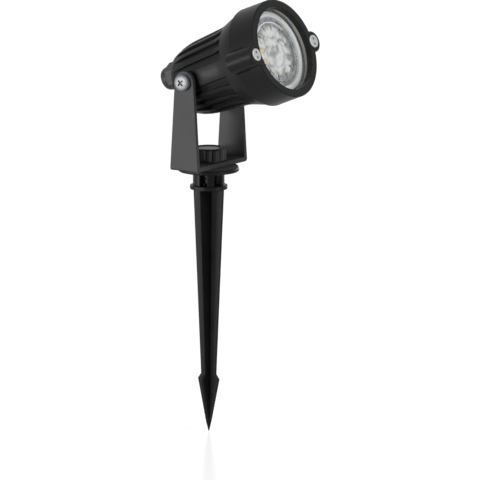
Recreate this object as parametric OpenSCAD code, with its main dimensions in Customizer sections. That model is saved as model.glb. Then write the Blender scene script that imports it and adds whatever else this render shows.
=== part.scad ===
// Garden spotlight: a finned die-cast head held in a U bracket, which a
// knob clamps to the post of a moulded ground spike.
// The origin is on the spike's axis at the underside of the soil collar.
// The beam points to -Y, and the pivot screws lie along X.

/* [Spike] */
// Length of the spike below the soil collar
spike_len = 150.4; // [125:0.1:220]
// Half length of a rib right under the collar
spike_top_half = 10.85; // [8:0.05:11.2]
// Half length of a rib above the barbs
spike_waist_half = 5.2; // [4:0.1:7]
// Half length across the barbs
barb_half = 7.5; // [7.1:0.1:10]
// Depth of the barbs' widest point below the collar
barb_depth = 118; // [90:0.5:120]
// Height of the bevel above each barb
barb_rise = 3.2; // [2:0.1:6]
// Half width left at the very tip
tip_half = 0.3; // [0.2:0.05:0.6]
// Length of the sharpened point
point_len = 6; // [4:0.5:10]
// Thickness of the spike's ribs
rib_t = 1.75; // [1.4:0.05:3]

/* [Post] */
// Radius of the soil collar
collar_r = 11.5; // [11.3:0.1:14]
// Thickness of the soil collar
collar_t = 2.4; // [1.5:0.1:4]
// Outer radius of the post
post_r = 9.7; // [9:0.1:11]
// Height of the post between collar and flange
post_h = 8.5; // [7:0.1:14]
// Wall of the bars that cross the post's windows
bar_wall = 2.5; // [1.5:0.1:3]
// Angle that each window spans
window_span = 94; // [80:1:100]
// Direction of the first window's middle, from -X towards -Y
window_mid = 45; // [40:1:50]
// Angle that each window's bar spans
bar_span = 26; // [15:1:32]
// Direction of the first window's bar, from -X towards -Y
bar_mid = 41; // [38:1:52]
// Radius of the flange that carries the bracket
flange_r = 18.7; // [17:0.1:22]
// Thickness of the flange
flange_t = 2.5; // [2:0.1:4]
// Rounding of the flange's edge
flange_edge = 0.6; // [0.3:0.1:0.9]
// Thickness of the rubber washer on the flange
rubber_t = 0.7; // [0.5:0.1:1.5]
// How far the rubber washer stays inside the flange's edge
rubber_inset = 0.7; // [0.4:0.1:2]

/* [Bracket] */
// Width across the bracket's arms, outside
bracket_w = 54.9; // [53:0.1:60]
// Thickness of the bracket's plate
bracket_t = 2.8; // [2:0.1:3.2]
// Depth of the bracket at its base
bracket_d = 20.5; // [17:0.1:26]
// Height of the pivot above the bracket's underside
pivot_h = 55.1; // [53:0.1:70]
// Radius of the round top of each arm
arm_top_r = 6.75; // [6:0.05:8]
// Outer bend radius of the bracket's corners
bend_r = 2; // [1:0.1:2.5]

/* [Knob] */
// Radius over the knob's lobes
knob_r = 10.75; // [9.6:0.05:11.5]
// Height of the knob
knob_h = 7.6; // [5:0.1:10]
// Number of lobes round the knob
knob_lobes = 12; // [8:1:16]
// Radius of each lobe
lobe_r = 3; // [2.8:0.1:3.6]
// Bevel round the knob's top
knob_bevel = 1.2; // [0.6:0.1:1.6]
// Depth of the dish in the knob's top
knob_dish = 0.6; // [0.3:0.1:1.5]
// Radius of the moulded stud over its thread
stud_r = 5.1; // [4.5:0.05:5.6]
// Pitch of the stud's thread
thread_pitch = 2.5; // [2:0.1:3]
// Depth of the stud's thread
thread_depth = 0.9; // [0.5:0.1:1.2]
// Outer radius of the washer under the knob
knob_washer_r = 8.6; // [8:0.1:9.4]
// Thickness of the washer under the knob
knob_washer_t = 0.9; // [0.6:0.1:1.2]

/* [Head] */
// Tilt of the beam above level
head_tilt = 22; // [0:1:60]
// Distance from the pivot to the bezel's front face
front_s = 60.3; // [59:0.1:66]
// Outer radius of the bezel
bezel_r = 31.2; // [31:0.1:33]
// Length of the wide drum behind the bezel's front face
drum_len = 19.3; // [17:0.1:21]
// Length of the bezel itself
bezel_len = 8; // [7.4:0.1:9]
// Radius of the aperture at the bezel's front
aperture_r = 25.9; // [25:0.1:26.4]
// How much the aperture narrows towards the glass
aperture_draft = 0.5; // [0.2:0.1:1]
// Bevel on the bezel's front edge
bezel_edge = 0.5; // [0.3:0.1:1]
// Distance of the ears from the head's axis
ear_offset = 31.5; // [31:0.1:33]
// Radius of the ears
ear_r = 6.6; // [6:0.1:7]
// Radius of the housing over its fins, at the start of the taper
fin_tip_r = 23.4; // [23.2:0.05:23.8]
// Where the taper starts, ahead of the pivot
taper_start = 2; // [1:0.5:4]
// Growth of the fin tips' radius for each unit forward
taper = 0.08; // [0.06:0.005:0.09]
// Radius of the long curve from the taper to the rear face
rear_curve_r = 48; // [40:1:60]
// Distance from the pivot back to the housing's rear face
rear_s = 14.2; // [13.5:0.1:18]
// Radius of the grooves' floor where it runs out at the rear
floor_rear_r = 20.5; // [20.3:0.05:21]
// Distance from the pivot back to where the grooves run out
floor_rear_s = 9.2; // [8:0.1:10]
// Where the grooves end, ahead of the pivot
groove_front_s = 30; // [27:0.1:31]
// Where the flare starts, ahead of the pivot
flare_start_s = 22; // [20:0.5:24]
// Radius of the flare where it meets the drum
flare_end_r = 29.8; // [29:0.1:30.5]
// Slope of the flare where it meets the drum
flare_end_slope = 0.1; // [0:0.05:0.3]
// Thickness of a fin
fin_t = 2.75; // [2:0.05:3.2]
// Number of fins in each quarter
fins_per_quarter = 4; // [3:1:4]
// Angle between fins
fin_pitch = 17.3; // [16.5:0.1:17.5]
// Angle of the first fin from the side
fin_first = 28.15; // [27:0.05:29]
// Width of the flat pad on each side
pad_w = 11; // [9:0.1:12]
// Where the pad starts, ahead of the pivot
pad_start_s = 7.7; // [7:0.1:9]
// Radius of the round boss round each pivot screw
boss_r = 6; // [5.5:0.1:6.4]

/* [Chamber] */
// Radius of the chamber that holds the driver
chamber_r = 18; // [17.5:0.1:18.4]
// Thickness of the rear wall
rear_wall = 2.8; // [2.4:0.1:3.4]
// Radius of the throat behind the heat spreader
throat_r = 20.5; // [20:0.1:20.8]
// Where the throat starts, ahead of the pivot
throat_start_s = 26; // [24:0.5:28]
// Radius of the cup that holds the optic
cup_r = 25.9; // [25.8:0.1:26.2]
// How far each pivot boss reaches into the chamber
boss_inner = 2.5; // [2.4:0.1:3]
// Thickness of the rails that carry the driver board
rail_t = 1.6; // [1.2:0.1:2.5]
// Width of the rails inside the chamber
rail_w = 4; // [3.2:0.1:5]

/* [Optic] */
// How far the glass lies behind the bezel's front face
glass_inset = 3.8; // [3:0.1:4.2]
// Thickness of the glass
glass_t = 3; // [2.5:0.1:3.2]
// Radius of the glass
glass_r = 27.8; // [27.4:0.1:27.9]
// Radius of the lens
lens_r = 24; // [23.5:0.1:24.2]
// Height of the lens at its rim
lens_h = 7.6; // [7:0.1:8]
// Width of the lens's smooth rim
lens_rim_w = 2.2; // [1.5:0.1:3]
// How far the lens's middle lies below its rim
lens_dish = 0.8; // [0.4:0.1:1.2]
// Depth of the hollow under the lens
lens_hollow = 3.4; // [2.5:0.1:4]
// Width of the seat under the lens's rim
lens_seat_w = 1.8; // [1.2:0.1:2]
// Thickness of the holder's wall round the lens
holder_wall = 1.5; // [1.3:0.05:1.6]
// Thickness of the LED board
board_t = 1.6; // [1:0.1:2]
// Radius of the LED board
board_r = 20.3; // [19.5:0.1:21]
// Number of LED chips
chip_count = 12; // [8:1:12]
// Radius of the ring of LED chips
chip_ring_r = 14.5; // [13:0.1:16]
// Side of an LED chip
chip_w = 3.2; // [2.5:0.1:3.6]
// Height of an LED chip
chip_h = 0.8; // [0.5:0.1:1]
// Thickness of the thermal pad
thermal_t = 0.3; // [0.2:0.05:0.6]
// Space between the heat spreader and the lens
stack_h = 3.3; // [3.2:0.1:4]
// Thickness of the heat spreader
spreader_t = 4; // [3:0.1:4.5]
// Radius at which the spreader's screws sit
spreader_screw_pcd_r = 23; // [22.9:0.05:23.1]
// Number of the spreader's screws
spreader_screw_count = 3; // [3:1:4]
// Radius at which the board's screws sit
board_screw_pcd_r = 8.5; // [7:0.1:9]

/* [Driver] */
// Length of the driver board
driver_len = 31; // [28:0.5:33]
// Thickness of the driver board
driver_t = 1.6; // [1:0.1:2]
// Height of the driver board's underside above the head's axis
driver_y = -7.4; // [-7.6:0.1:-7]
// Radius of each capacitor
cap_r = 4; // [3:0.1:4.4]
// Height of each capacitor
cap_h = 10; // [8:0.1:12]
// Outer radius of the inductor
choke_r = 6; // [5:0.1:6]
// Height of the inductor
choke_h = 8; // [6:0.1:9]
// Radius of each LED lead
lead_r = 0.8; // [0.6:0.05:0.9]
// Half distance between the LED leads
lead_half_gap = 1.6; // [1.4:0.1:2]

/* [Gland] */
// Height of the gland above the head's axis
gland_y = 7.3; // [6:0.1:8]
// Width across the gland's hex flats
hex_af = 15.6; // [14.5:0.1:16]
// Distance from the housing's rear face to the end of the gland nut's flats
hex_reach = 11.3; // [10.5:0.1:14]
// Length of the gland nut's dome
dome_len = 4.6; // [3:0.1:5]
// Radius of the dome where it starts
dome_r = 7.4; // [6.8:0.1:7.6]
// Radius of the dome's flat end
dome_end_r = 6; // [5:0.1:6.4]
// Thickness of the gland body's own hex
gland_hex_t = 2.8; // [2:0.1:3.2]
// Thickness of the sealing ring under the gland
gland_ring_t = 1; // [0.8:0.1:1.4]
// Radius of the gland's thread into the housing
gland_thread_r = 6; // [5.6:0.1:6.2]
// Radius of the gland's spigot inside the nut
spigot_r = 5.3; // [5.2:0.05:5.6]
// Radius of the cable hole in the gland nut
cable_hole_r = 3.3; // [3.1:0.05:3.6]
// Radius of the hole in the gland's rubber seal
seal_hole_r = 3.3; // [3.2:0.05:3.6]
// Radius of the gland's rubber seal
seal_r = 4.5; // [4.4:0.05:4.6]
// Depth of the seal's pocket below the gland body's hex
seal_sink = 2; // [1.5:0.1:2.5]
// Length of the seal's pocket in the spigot
spigot_grip = 3.4; // [2.5:0.1:3.8]
// Thickness of the gland nut's end wall
nut_lip = 3; // [2.5:0.1:3.4]
// How far the gland's thread reaches into the chamber
gland_past = 2; // [1.5:0.1:2.4]

/* [Screws] */
// Radius of the pivot screws' shank
pivot_screw_r = 2.5; // [2:0.05:2.6]
// Radius of the pivot screws' head
pivot_head_r = 4.95; // [4.5:0.05:5.4]
// Height of the pivot screws' head
pivot_head_h = 2.9; // [2.4:0.1:3.4]
// Thickness of the spring washers under the pivot screws
spring_washer_t = 0.9; // [0.6:0.1:1.2]
// Radius of the bezel screws' shank
bezel_screw_r = 2; // [1.5:0.05:2.2]
// Radius of the bezel screws' head
bezel_head_r = 4; // [3.5:0.05:4.4]
// Height of the bezel screws' head
bezel_head_h = 2.6; // [2.2:0.1:2.8]
// How far the bezel screws' heads stand out
bezel_head_proud = 0.6; // [0.2:0.1:1]
// Radius of the small screws inside
small_screw_r = 1.25; // [1:0.05:1.3]
// Radius of the small screws' heads
small_head_r = 2.25; // [2:0.05:2.3]
// Height of the small screws' heads
small_head_h = 1.2; // [0.9:0.1:1.3]

/* [Fits] */
// Radial clearance of a pin that turns in its hole
run_fit = 0.06; // [0.03:0.01:0.09]
// Radial clearance of a screw in its tapped hole
tap_fit = 0.02; // [0.01:0.01:0.05]
// Gap between flat faces that slide on each other
slide_gap = 0.1; // [0.05:0.01:0.2]
// Radial clearance of a piece that drops into its seat
seat_gap = 0.2; // [0.1:0.05:0.3]

/* [Hidden] */
$fn = 96;
// How far joined shapes run into each other
eps = 0.01;
// How far a cutting shape runs past the surface that it cuts
over = 1;
// Number of straight steps in each of the housing's long curves
curve_steps = 8;
// How far the stud's end stays above the collar, and its bevel
stud_floor = 0.8;
stud_bevel = 0.6;
// Share of the thread's pitch that a crest and each of its flanks takes
thread_crest = 0.2;
thread_flank = 0.25;
// Height of the step between the stud's thread and its plain shank
thread_step = 0.3;
// Depth of the knob's round core below the tops of its lobes
lobe_sink = 2;
// Gap between the side pads and the bracket's arms
pad_gap = 0.35;
// Material left under a blind tapped hole, and the gap past its screw's tip
blind_floor = 1.2;
end_gap = 0.6;
// Depth of the tapped holes under the heat spreader
spreader_hole_depth = 6;
// Share of the pivot screws' heads that is a straight rim, and that is flat on top
head_rim = 0.55;
head_flat = 0.45;
// Arms of the cross recess: length, width and depth
cross_len = 4.6;
cross_w = 1;
cross_depth = 1.5;
// Slit of the spring washers, and how far they stay inside the heads
washer_slit = 0.6;
washer_inset = 0.35;
// The pair of holes in each bezel screw: radius, half distance and depth
pin_hole_r = 0.6;
pin_hole_half = 2;
pin_hole_depth = 1.2;
// Radius of the lens's inner step and of its eye
lens_step_r = 8;
lens_eye_r = 6.5;
// Wall between the lens's hollow and its seat
lens_skirt = 1;
// How far the thermal pad stays inside the LED board's edge
thermal_inset = 0.5;
// Gap between the driver board and the rear wall
driver_gap = 0.8;
// Height of the LED leads over the driver board, and how far they pass the LED board
lead_h = 3;
lead_past = 0.4;
// Length of the driver board that the LED leads lie over
lead_run = 12;
// Gap between a lead and a capacitor, and between a capacitor and the board's end
cap_gap = 0.8;
// Place of the inductor's middle from the board's rear end, and its hole's share
choke_at = 14.5;
choke_hole = 0.4;
choke_gap = 2.8;
// The terminal block: place from the board's rear end, and size
block_at = 2;
block_w = 12;
block_h = 8;
block_d = 6.5;
// The terminal block's wire holes: radius, half distance, height and depth
block_hole_r = 1.6;
block_hole_half = 3;
block_hole_h = 4;
block_hole_depth = 5;
// Width of the ledge that stops the gland's seal, and of the sealing ring
seal_ledge = 0.7;
gland_ring_w = 1.2;
// How far the gland nut's flats are chamfered at the dome
nut_chamfer = 0.4;
// The two driver chips: place from the board's middle line and rear end, and size
chip_places = [[2, 11], [9.5, 10]];
chip_sizes = [[6, 1.6, 5], [4, 2.4, 7]];

flange_z = collar_t + post_h;
flange_top = flange_z + flange_t;
bracket_z = flange_top + rubber_t + slide_gap;
bracket_top = bracket_z + bracket_t;
pivot_z = bracket_z + pivot_h;
arm_in = bracket_w / 2 - bracket_t;
arm_out = bracket_w / 2;
knob_washer_z = bracket_top + slide_gap;
knob_z = knob_washer_z + knob_washer_t + slide_gap;
stud_end_z = collar_t + stud_floor;
thread_top_z = flange_top - thread_step;
socket_r = stud_r + run_fit;

// Stations along the head's axis, forward from the pivot.
drum_s = front_s - drum_len;
seat_s = front_s - bezel_len;
glass_front_s = front_s - glass_inset;
glass_back_s = glass_front_s - glass_t;
lens_front_s = seat_s;
lens_back_s = lens_front_s - lens_h;
spreader_front_s = lens_back_s - stack_h;
spreader_back_s = spreader_front_s - spreader_t;
board_back_s = spreader_front_s + thermal_t;
board_front_s = board_back_s + board_t;
bezel_head_s = front_s + bezel_head_proud - bezel_head_h;
chamber_back_s = rear_wall - rear_s;
pocket_r = glass_r + 2 * seat_gap;
boss_face = arm_in - slide_gap;
pad_face = arm_in - pad_gap;
boss_end = chamber_r - boss_inner;
screw_hole_end = boss_end + blind_floor;

// Stations of the gland, backward from the housing's rear face.
gland_rear_s = -rear_s;
gland_hex_s = gland_rear_s - gland_ring_t - gland_hex_t;
nut_front_s = gland_hex_s - slide_gap;
nut_flat_end_s = gland_rear_s - hex_reach;
nut_end_s = nut_flat_end_s - dome_len;
seal_front_s = gland_hex_s - seal_sink;
seal_end_s = nut_end_s + nut_lip;
spigot_end_s = seal_front_s - spigot_grip;
gland_inner_s = chamber_back_s + gland_past;
hex_corner_r = hex_af / 2 / cos(30);

// Stations of the driver board, and the heights on and above it.
driver_s = chamber_back_s + driver_gap;
driver_end_s = driver_s + driver_len;
driver_half = boss_end - seat_gap / 2;
driver_top = driver_y + driver_t;
lead_y = driver_top + lead_h;
lead_start_s = driver_end_s - lead_run;

ear_sides = [-1, 1];

// Places a child that is drawn along Z on the head's axis, with the
// pivot at its origin and its Y pointing up.
module on_head() {
    translate([0, 0, pivot_z]) rotate([90 - head_tilt, 0, 0]) children();
}

// A ring or tube along Z, from one height to another.
module ring(outer, inner, low, high) {
    translate([0, 0, low]) difference() {
        cylinder(r = outer, h = high - low);
        translate([0, 0, -eps]) cylinder(r = inner, h = high - low + 2 * eps);
    }
}

module rod(radius, low, high) {
    translate([0, 0, low]) cylinder(r = radius, h = high - low);
}

// One rib of the spike, cut to its outline in the XZ plane.
module spike_rib() {
    outline = [[-spike_top_half, eps], [-spike_waist_half, barb_rise - barb_depth],
               [-barb_half, -barb_depth], [-tip_half, -spike_len],
               [tip_half, -spike_len], [barb_half, -barb_depth],
               [spike_waist_half, barb_rise - barb_depth], [spike_top_half, eps]];
    rotate([90, 0, 0])
        translate([0, 0, -rib_t / 2]) linear_extrude(rib_t) polygon(outline);
}

// The round shape that sharpens the crossed ribs to a point.
module spike_point() {
    point_z = point_len - spike_len;
    rotate_extrude() polygon([[0, -spike_len], [tip_half, -spike_len], [rib_t, point_z],
        [collar_r, point_z + collar_r], [collar_r, eps], [0, eps]]);
}

// A wedge of a disc in the XY plane, its middle at the given angle.
module wedge(radius, middle, span, low, high) {
    reach = radius / cos(span / 4);
    corners = [for (k = [-2 : 2]) let (a = middle + k * span / 4) reach * [cos(a), sin(a)]];
    translate([0, 0, low]) linear_extrude(high - low) polygon(concat([[0, 0]], corners));
}

module ground_spike() {
    color([0.14, 0.14, 0.145]) difference() {
        union() {
            intersection() {
                union() {
                    spike_rib();
                    rotate([0, 0, 90]) spike_rib();
                }
                spike_point();
            }
            rod(collar_r, 0, collar_t);
            rod(post_r, collar_t - eps, flange_z + eps);
            translate([0, 0, flange_z]) rotate_extrude() polygon([[0, 0],
                [flange_r - flange_edge, 0], [flange_r, flange_edge],
                [flange_r, flange_t - flange_edge], [flange_r - flange_edge, flange_t],
                [0, flange_t]]);
        }
        rod(socket_r, collar_t, flange_top + eps);
        for (turn = [0, 180]) rotate([0, 0, turn]) difference() {
            wedge(post_r + over, 180 + window_mid, window_span, collar_t, flange_z);
            intersection() {
                ring(post_r + 2 * over, post_r - bar_wall, collar_t - eps, flange_z + eps);
                wedge(post_r + 3 * over, 180 + bar_mid, bar_span, collar_t - eps, flange_z + eps);
            }
        }
    }
}

module flange_washer() {
    color([0.03, 0.03, 0.03])
        ring(flange_r - rubber_inset, socket_r, flange_top, flange_top + rubber_t);
}

// The bracket's outline from the side: a base that tapers to a round top.
module arm_outline() {
    base_half = bracket_d / 2;
    reach = norm([base_half, pivot_h]);
    lean = acos(arm_top_r / reach) - atan2(pivot_h, base_half);
    touch = (arm_top_r - eps) * [cos(lean), sin(lean)];
    circle(r = arm_top_r);
    polygon([[-base_half, -pivot_h], [base_half, -pivot_h], touch, [-touch.x, touch.y]]);
}

module bracket_outline() {
    height = pivot_h + arm_top_r;
    translate([-arm_out, bend_r]) square([bracket_w, height]);
    translate([-arm_out + bend_r, 0]) square([bracket_w - 2 * bend_r, height]);
    for (side = ear_sides) translate([side * (arm_out - bend_r), bend_r]) circle(r = bend_r);
}

module yoke_bracket() {
    color([0.2, 0.2, 0.205]) difference() {
        intersection() {
            translate([-bracket_w, 0, pivot_z]) rotate([90, 0, 90])
                linear_extrude(2 * bracket_w) arm_outline();
            translate([0, bracket_d, bracket_z]) rotate([90, 0, 0])
                linear_extrude(2 * bracket_d) difference() {
                    bracket_outline();
                    translate([-arm_in, bracket_t]) square([2 * arm_in, 2 * pivot_h]);
                }
        }
        rod(socket_r, bracket_z - over, bracket_top + over);
        translate([0, 0, pivot_z]) rotate([0, 90, 0])
            rod(pivot_screw_r + run_fit, -bracket_w, bracket_w);
    }
}

module knob_washer() {
    color([0.08, 0.08, 0.08])
        ring(knob_washer_r, socket_r, knob_washer_z, knob_washer_z + knob_washer_t);
}

// The stud's side: a plain shank above a row of thread crests.
module knob_stud() {
    root_r = stud_r - thread_depth;
    crests = floor((thread_top_z - stud_end_z) / thread_pitch);
    start = thread_top_z - crests * thread_pitch;
    crest_half = thread_crest * thread_pitch / 2;
    foot_half = crest_half + thread_flank * thread_pitch;
    teeth = [for (k = [0 : crests - 1]) let (mid = start + (k + 0.5) * thread_pitch)
        each [[root_r, mid - foot_half], [stud_r, mid - crest_half],
              [stud_r, mid + crest_half], [root_r, mid + foot_half]]];
    rotate_extrude() polygon(concat(
        [[0, stud_end_z], [root_r - stud_bevel, stud_end_z], [root_r, stud_end_z + stud_bevel]],
        teeth,
        [[root_r, thread_top_z], [stud_r, flange_top], [stud_r, knob_z + eps], [0, knob_z + eps]]));
}

module clamp_knob() {
    color([0.1, 0.1, 0.1]) {
        knob_stud();
        difference() {
            intersection() {
                union() {
                    rod(knob_r - lobe_sink, knob_z, knob_z + knob_h);
                    for (k = [0 : knob_lobes - 1]) rotate([0, 0, k * 360 / knob_lobes])
                        translate([knob_r - lobe_r, 0, 0]) rod(lobe_r, knob_z, knob_z + knob_h);
                }
                translate([0, 0, knob_z]) rotate_extrude() polygon([[0, 0], [knob_r + over, 0],
                    [knob_r + over, knob_h - knob_bevel - over], [knob_r - knob_bevel, knob_h],
                    [0, knob_h]]);
            }
            rod(knob_r - 2 * knob_bevel, knob_z + knob_h - knob_dish, knob_z + knob_h + over);
        }
    }
}

// Radius of the housing over its fins, at a station along its axis.
function tip_r(s) = fin_tip_r + taper * (s - taper_start);
function floor_r(s) = floor_rear_r + taper * (s + floor_rear_s);
function blend(u, a, b, ma, mb) =
    (2 * u * u * u - 3 * u * u + 1) * a + (3 * u * u - 2 * u * u * u) * b
    + (u * u * u - 2 * u * u + u) * ma + (u * u * u - u * u) * mb;
function flare_r(s) = let (span = drum_s - flare_start_s)
    blend((s - flare_start_s) / span, tip_r(flare_start_s), flare_end_r,
          taper * span, flare_end_slope * span);

// The housing's outer shape: the long rear curve, the taper and the flare.
module housing_envelope() {
    lean = atan(taper);
    mid_s = taper_start + rear_curve_r * sin(lean);
    mid_r = fin_tip_r - rear_curve_r * cos(lean);
    turn = asin((mid_s + rear_s) / rear_curve_r) - lean;
    flare_len = drum_s - flare_start_s;
    rear = [for (k = [curve_steps : -1 : 0]) let (a = lean + turn * k / curve_steps)
        [mid_r + rear_curve_r * cos(a), mid_s - rear_curve_r * sin(a)]];
    flare = [for (k = [0 : curve_steps]) let (s = flare_start_s + flare_len * k / curve_steps)
        [flare_r(s), s]];
    rotate_extrude() polygon(concat([[0, -rear_s]], rear, flare, [[0, drum_s]]));
}

module housing_core() {
    low = -rear_s - over;
    rotate_extrude() polygon([[0, low], [floor_r(low), low],
        [floor_r(groove_front_s), groove_front_s], [bezel_r, groove_front_s],
        [bezel_r, drum_s], [0, drum_s]]);
}

// Fins that stand between the core and the envelope, and the side pads.
module housing_fins() {
    length = groove_front_s + rear_s;
    depth = bezel_r - chamber_r;
    for (side = [0, 180], dir = [-1, 1], k = [0 : fins_per_quarter - 1])
        rotate([0, 0, side + dir * (fin_first + k * fin_pitch)])
            translate([chamber_r, -fin_t / 2, -rear_s]) cube([depth, fin_t, length]);
    for (side = [0, 180]) rotate([0, 0, side])
        translate([chamber_r, -pad_w / 2, pad_start_s])
            cube([depth, pad_w, groove_front_s - pad_start_s]);
}

module drum_outline() {
    circle(r = bezel_r);
    for (side = ear_sides) translate([side * ear_offset, 0]) circle(r = ear_r);
}

module housing_chamber() {
    rod(chamber_r, chamber_back_s, throat_start_s + eps);
    rod(throat_r, throat_start_s, spreader_back_s + eps);
    rod(cup_r, spreader_back_s, seat_s + over);
}

module housing_rails() {
    rail_in = chamber_r - rail_w;
    for (side = ear_sides)
        translate([side > 0 ? rail_in : -chamber_r - over, driver_y - rail_t, chamber_back_s - eps])
            cube([rail_w + over, rail_t, driver_len]);
}

// The pads that lie flat beside the bracket's arms.
module housing_pads() {
    for (side = ear_sides)
        translate([side > 0 ? chamber_r : -pad_face, -pad_w / 2, pad_start_s])
            cube([pad_face - chamber_r, pad_w, flare_start_s - pad_start_s]);
}

module spreader_places() {
    for (k = [0 : spreader_screw_count - 1]) rotate([0, 0, 90 + k * 360 / spreader_screw_count])
        translate([spreader_screw_pcd_r, 0, 0]) children();
}

module heatsink_housing() {
    color([0.16, 0.16, 0.165]) on_head() difference() {
        union() {
            difference() {
                union() {
                    intersection() {
                        housing_envelope();
                        union() {
                            housing_core();
                            housing_fins();
                        }
                    }
                    housing_pads();
                    translate([0, 0, drum_s]) linear_extrude(seat_s - drum_s) drum_outline();
                }
                housing_chamber();
            }
            intersection() {
                rod(chamber_r + over, -rear_s, throat_start_s);
                housing_rails();
            }
            for (side = ear_sides) rotate([0, side * 90, 0]) rod(boss_r, boss_end, boss_face);
        }
        for (side = ear_sides) rotate([0, side * 90, 0])
            rod(pivot_screw_r + tap_fit, screw_hole_end, arm_out);
        for (side = ear_sides) translate([side * ear_offset, 0, 0])
            rod(bezel_screw_r + tap_fit, drum_s + blind_floor, seat_s + over);
        spreader_places()
            rod(small_screw_r + tap_fit, spreader_back_s - spreader_hole_depth, spreader_back_s + over);
        translate([0, gland_y, 0])
            rod(gland_thread_r + tap_fit, gland_rear_s - over, chamber_back_s + over);
    }
}

// A pan-head screw along X, its head outside and its tip in the boss.
module pivot_screw(side) {
    seat = arm_out + slide_gap + spring_washer_t;
    top = seat + pivot_head_h;
    rim = head_rim * pivot_head_h;
    dome = [for (a = [0 : 18 : 90])
        [pivot_head_r * (head_flat + (1 - head_flat) * cos(a)),
         seat + rim + (pivot_head_h - rim) * sin(a)]];
    color([0.75, 0.76, 0.76]) translate([0, 0, pivot_z]) rotate([0, side * 90, 0]) difference() {
        union() {
            rod(pivot_screw_r, screw_hole_end + end_gap, seat + eps);
            rotate_extrude() polygon(concat([[0, seat], [pivot_head_r, seat]], dome, [[0, top]]));
        }
        for (turn = [45, 135]) rotate([0, 0, turn])
            translate([-cross_len / 2, -cross_w / 2, top - cross_depth])
                cube([cross_len, cross_w, cross_depth + over]);
    }
}

module spring_washers() {
    low = arm_out + slide_gap;
    color([0.5, 0.5, 0.5]) translate([0, 0, pivot_z])
        for (side = ear_sides) rotate([0, side * 90, 0]) difference() {
            ring(pivot_head_r - washer_inset, pivot_screw_r + run_fit, low, low + spring_washer_t);
            translate([0, -washer_slit / 2, 0]) cube([pivot_head_r, washer_slit, 2 * arm_out]);
        }
}

// A disc of the bezel with its front edge bevelled.
module bevelled_disc(radius) {
    rotate_extrude() polygon([[0, seat_s], [radius, seat_s], [radius, front_s - bezel_edge],
        [radius - bezel_edge, front_s], [0, front_s]]);
}

module front_bezel() {
    throat = aperture_r - aperture_draft;
    color([0.2, 0.2, 0.2]) on_head() difference() {
        union() {
            bevelled_disc(bezel_r);
            for (side = ear_sides) translate([side * ear_offset, 0, 0]) bevelled_disc(ear_r);
        }
        rod(pocket_r, seat_s - over, glass_front_s);
        rotate_extrude() polygon([[0, seat_s], [throat, seat_s], [throat, glass_front_s],
            [aperture_r, front_s], [aperture_r, front_s + over], [0, front_s + over]]);
        for (side = ear_sides) translate([side * ear_offset, 0, 0]) {
            rod(bezel_screw_r + seat_gap, seat_s - over, front_s);
            rod(bezel_head_r + seat_gap, bezel_head_s, front_s + over);
        }
    }
}

module bezel_screws() {
    top = bezel_head_s + bezel_head_h;
    color([0.75, 0.76, 0.76]) on_head() for (side = ear_sides)
        translate([side * ear_offset, 0, 0]) difference() {
            union() {
                rod(bezel_screw_r, drum_s + blind_floor + end_gap, bezel_head_s + eps);
                rod(bezel_head_r, bezel_head_s, top);
            }
            for (hole = ear_sides) translate([0, hole * pin_hole_half, 0])
                rod(pin_hole_r, top - pin_hole_depth, top + over);
        }
}

module front_glass() {
    color([0.8, 0.85, 0.85, 0.3]) on_head() rod(glass_r, glass_back_s, glass_front_s);
}

module glass_gasket() {
    color([0.75, 0.72, 0.65]) on_head() ring(glass_r, cup_r + seat_gap, seat_s, glass_back_s);
}

module optic_lens() {
    bowl_r = lens_r - lens_rim_w;
    color([0.9, 0.92, 0.92, 0.4]) on_head() difference() {
        rod(lens_r, lens_back_s, lens_front_s);
        ring(bowl_r, lens_step_r, lens_front_s - lens_dish, lens_front_s + over);
        rod(lens_eye_r, lens_front_s - 2 * lens_dish, lens_front_s + over);
        rod(bowl_r - lens_skirt, lens_back_s - over, lens_back_s + lens_hollow);
    }
}

module lens_holder() {
    wall_r = lens_r + seat_gap;
    outer_r = wall_r + holder_wall;
    color([0.05, 0.05, 0.05]) on_head() {
        ring(outer_r, wall_r, lens_back_s - eps, lens_front_s - seat_gap);
        ring(outer_r, wall_r - lens_seat_w, spreader_front_s, lens_back_s);
    }
}

module board_screw_places() {
    for (side = ear_sides) translate([side * board_screw_pcd_r, 0, 0]) children();
}

// Holes that let the LED leads through the pieces behind the lens.
module lead_holes(gap) {
    for (side = ear_sides) translate([side * lead_half_gap, lead_y, 0])
        rod(lead_r + gap, spreader_back_s - over, board_front_s + over);
}

module led_board() {
    color([0.93, 0.93, 0.9]) on_head() difference() {
        rod(board_r, board_back_s, board_front_s);
        board_screw_places() rod(small_screw_r + seat_gap, board_back_s - over, board_front_s + over);
        lead_holes(tap_fit);
    }
}

module led_chips() {
    color([0.9, 0.78, 0.3]) on_head() for (k = [0 : chip_count - 1])
        rotate([0, 0, (k + 0.5) * 360 / chip_count])
            translate([chip_ring_r - chip_w / 2, -chip_w / 2, board_front_s])
                cube([chip_w, chip_w, chip_h]);
}

module board_screws() {
    color([0.75, 0.75, 0.75]) on_head() board_screw_places() {
        rod(small_screw_r, spreader_back_s + end_gap, board_front_s + eps);
        rod(small_head_r, board_front_s, board_front_s + small_head_h);
    }
}

module thermal_pad() {
    color([0.6, 0.65, 0.7]) on_head() difference() {
        rod(board_r - thermal_inset, spreader_front_s, board_back_s);
        board_screw_places() rod(small_screw_r + seat_gap, spreader_back_s, board_front_s);
        lead_holes(seat_gap);
    }
}

module heat_spreader() {
    color([0.8, 0.8, 0.8]) on_head() difference() {
        rod(cup_r - seat_gap, spreader_back_s, spreader_front_s);
        board_screw_places()
            rod(small_screw_r + tap_fit, spreader_back_s - over, spreader_front_s + over);
        spreader_places() {
            rod(small_screw_r + seat_gap, spreader_back_s - over, spreader_front_s + over);
            rod(small_head_r + seat_gap, spreader_front_s - small_head_h, spreader_front_s + over);
        }
        lead_holes(seat_gap);
    }
}

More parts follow.
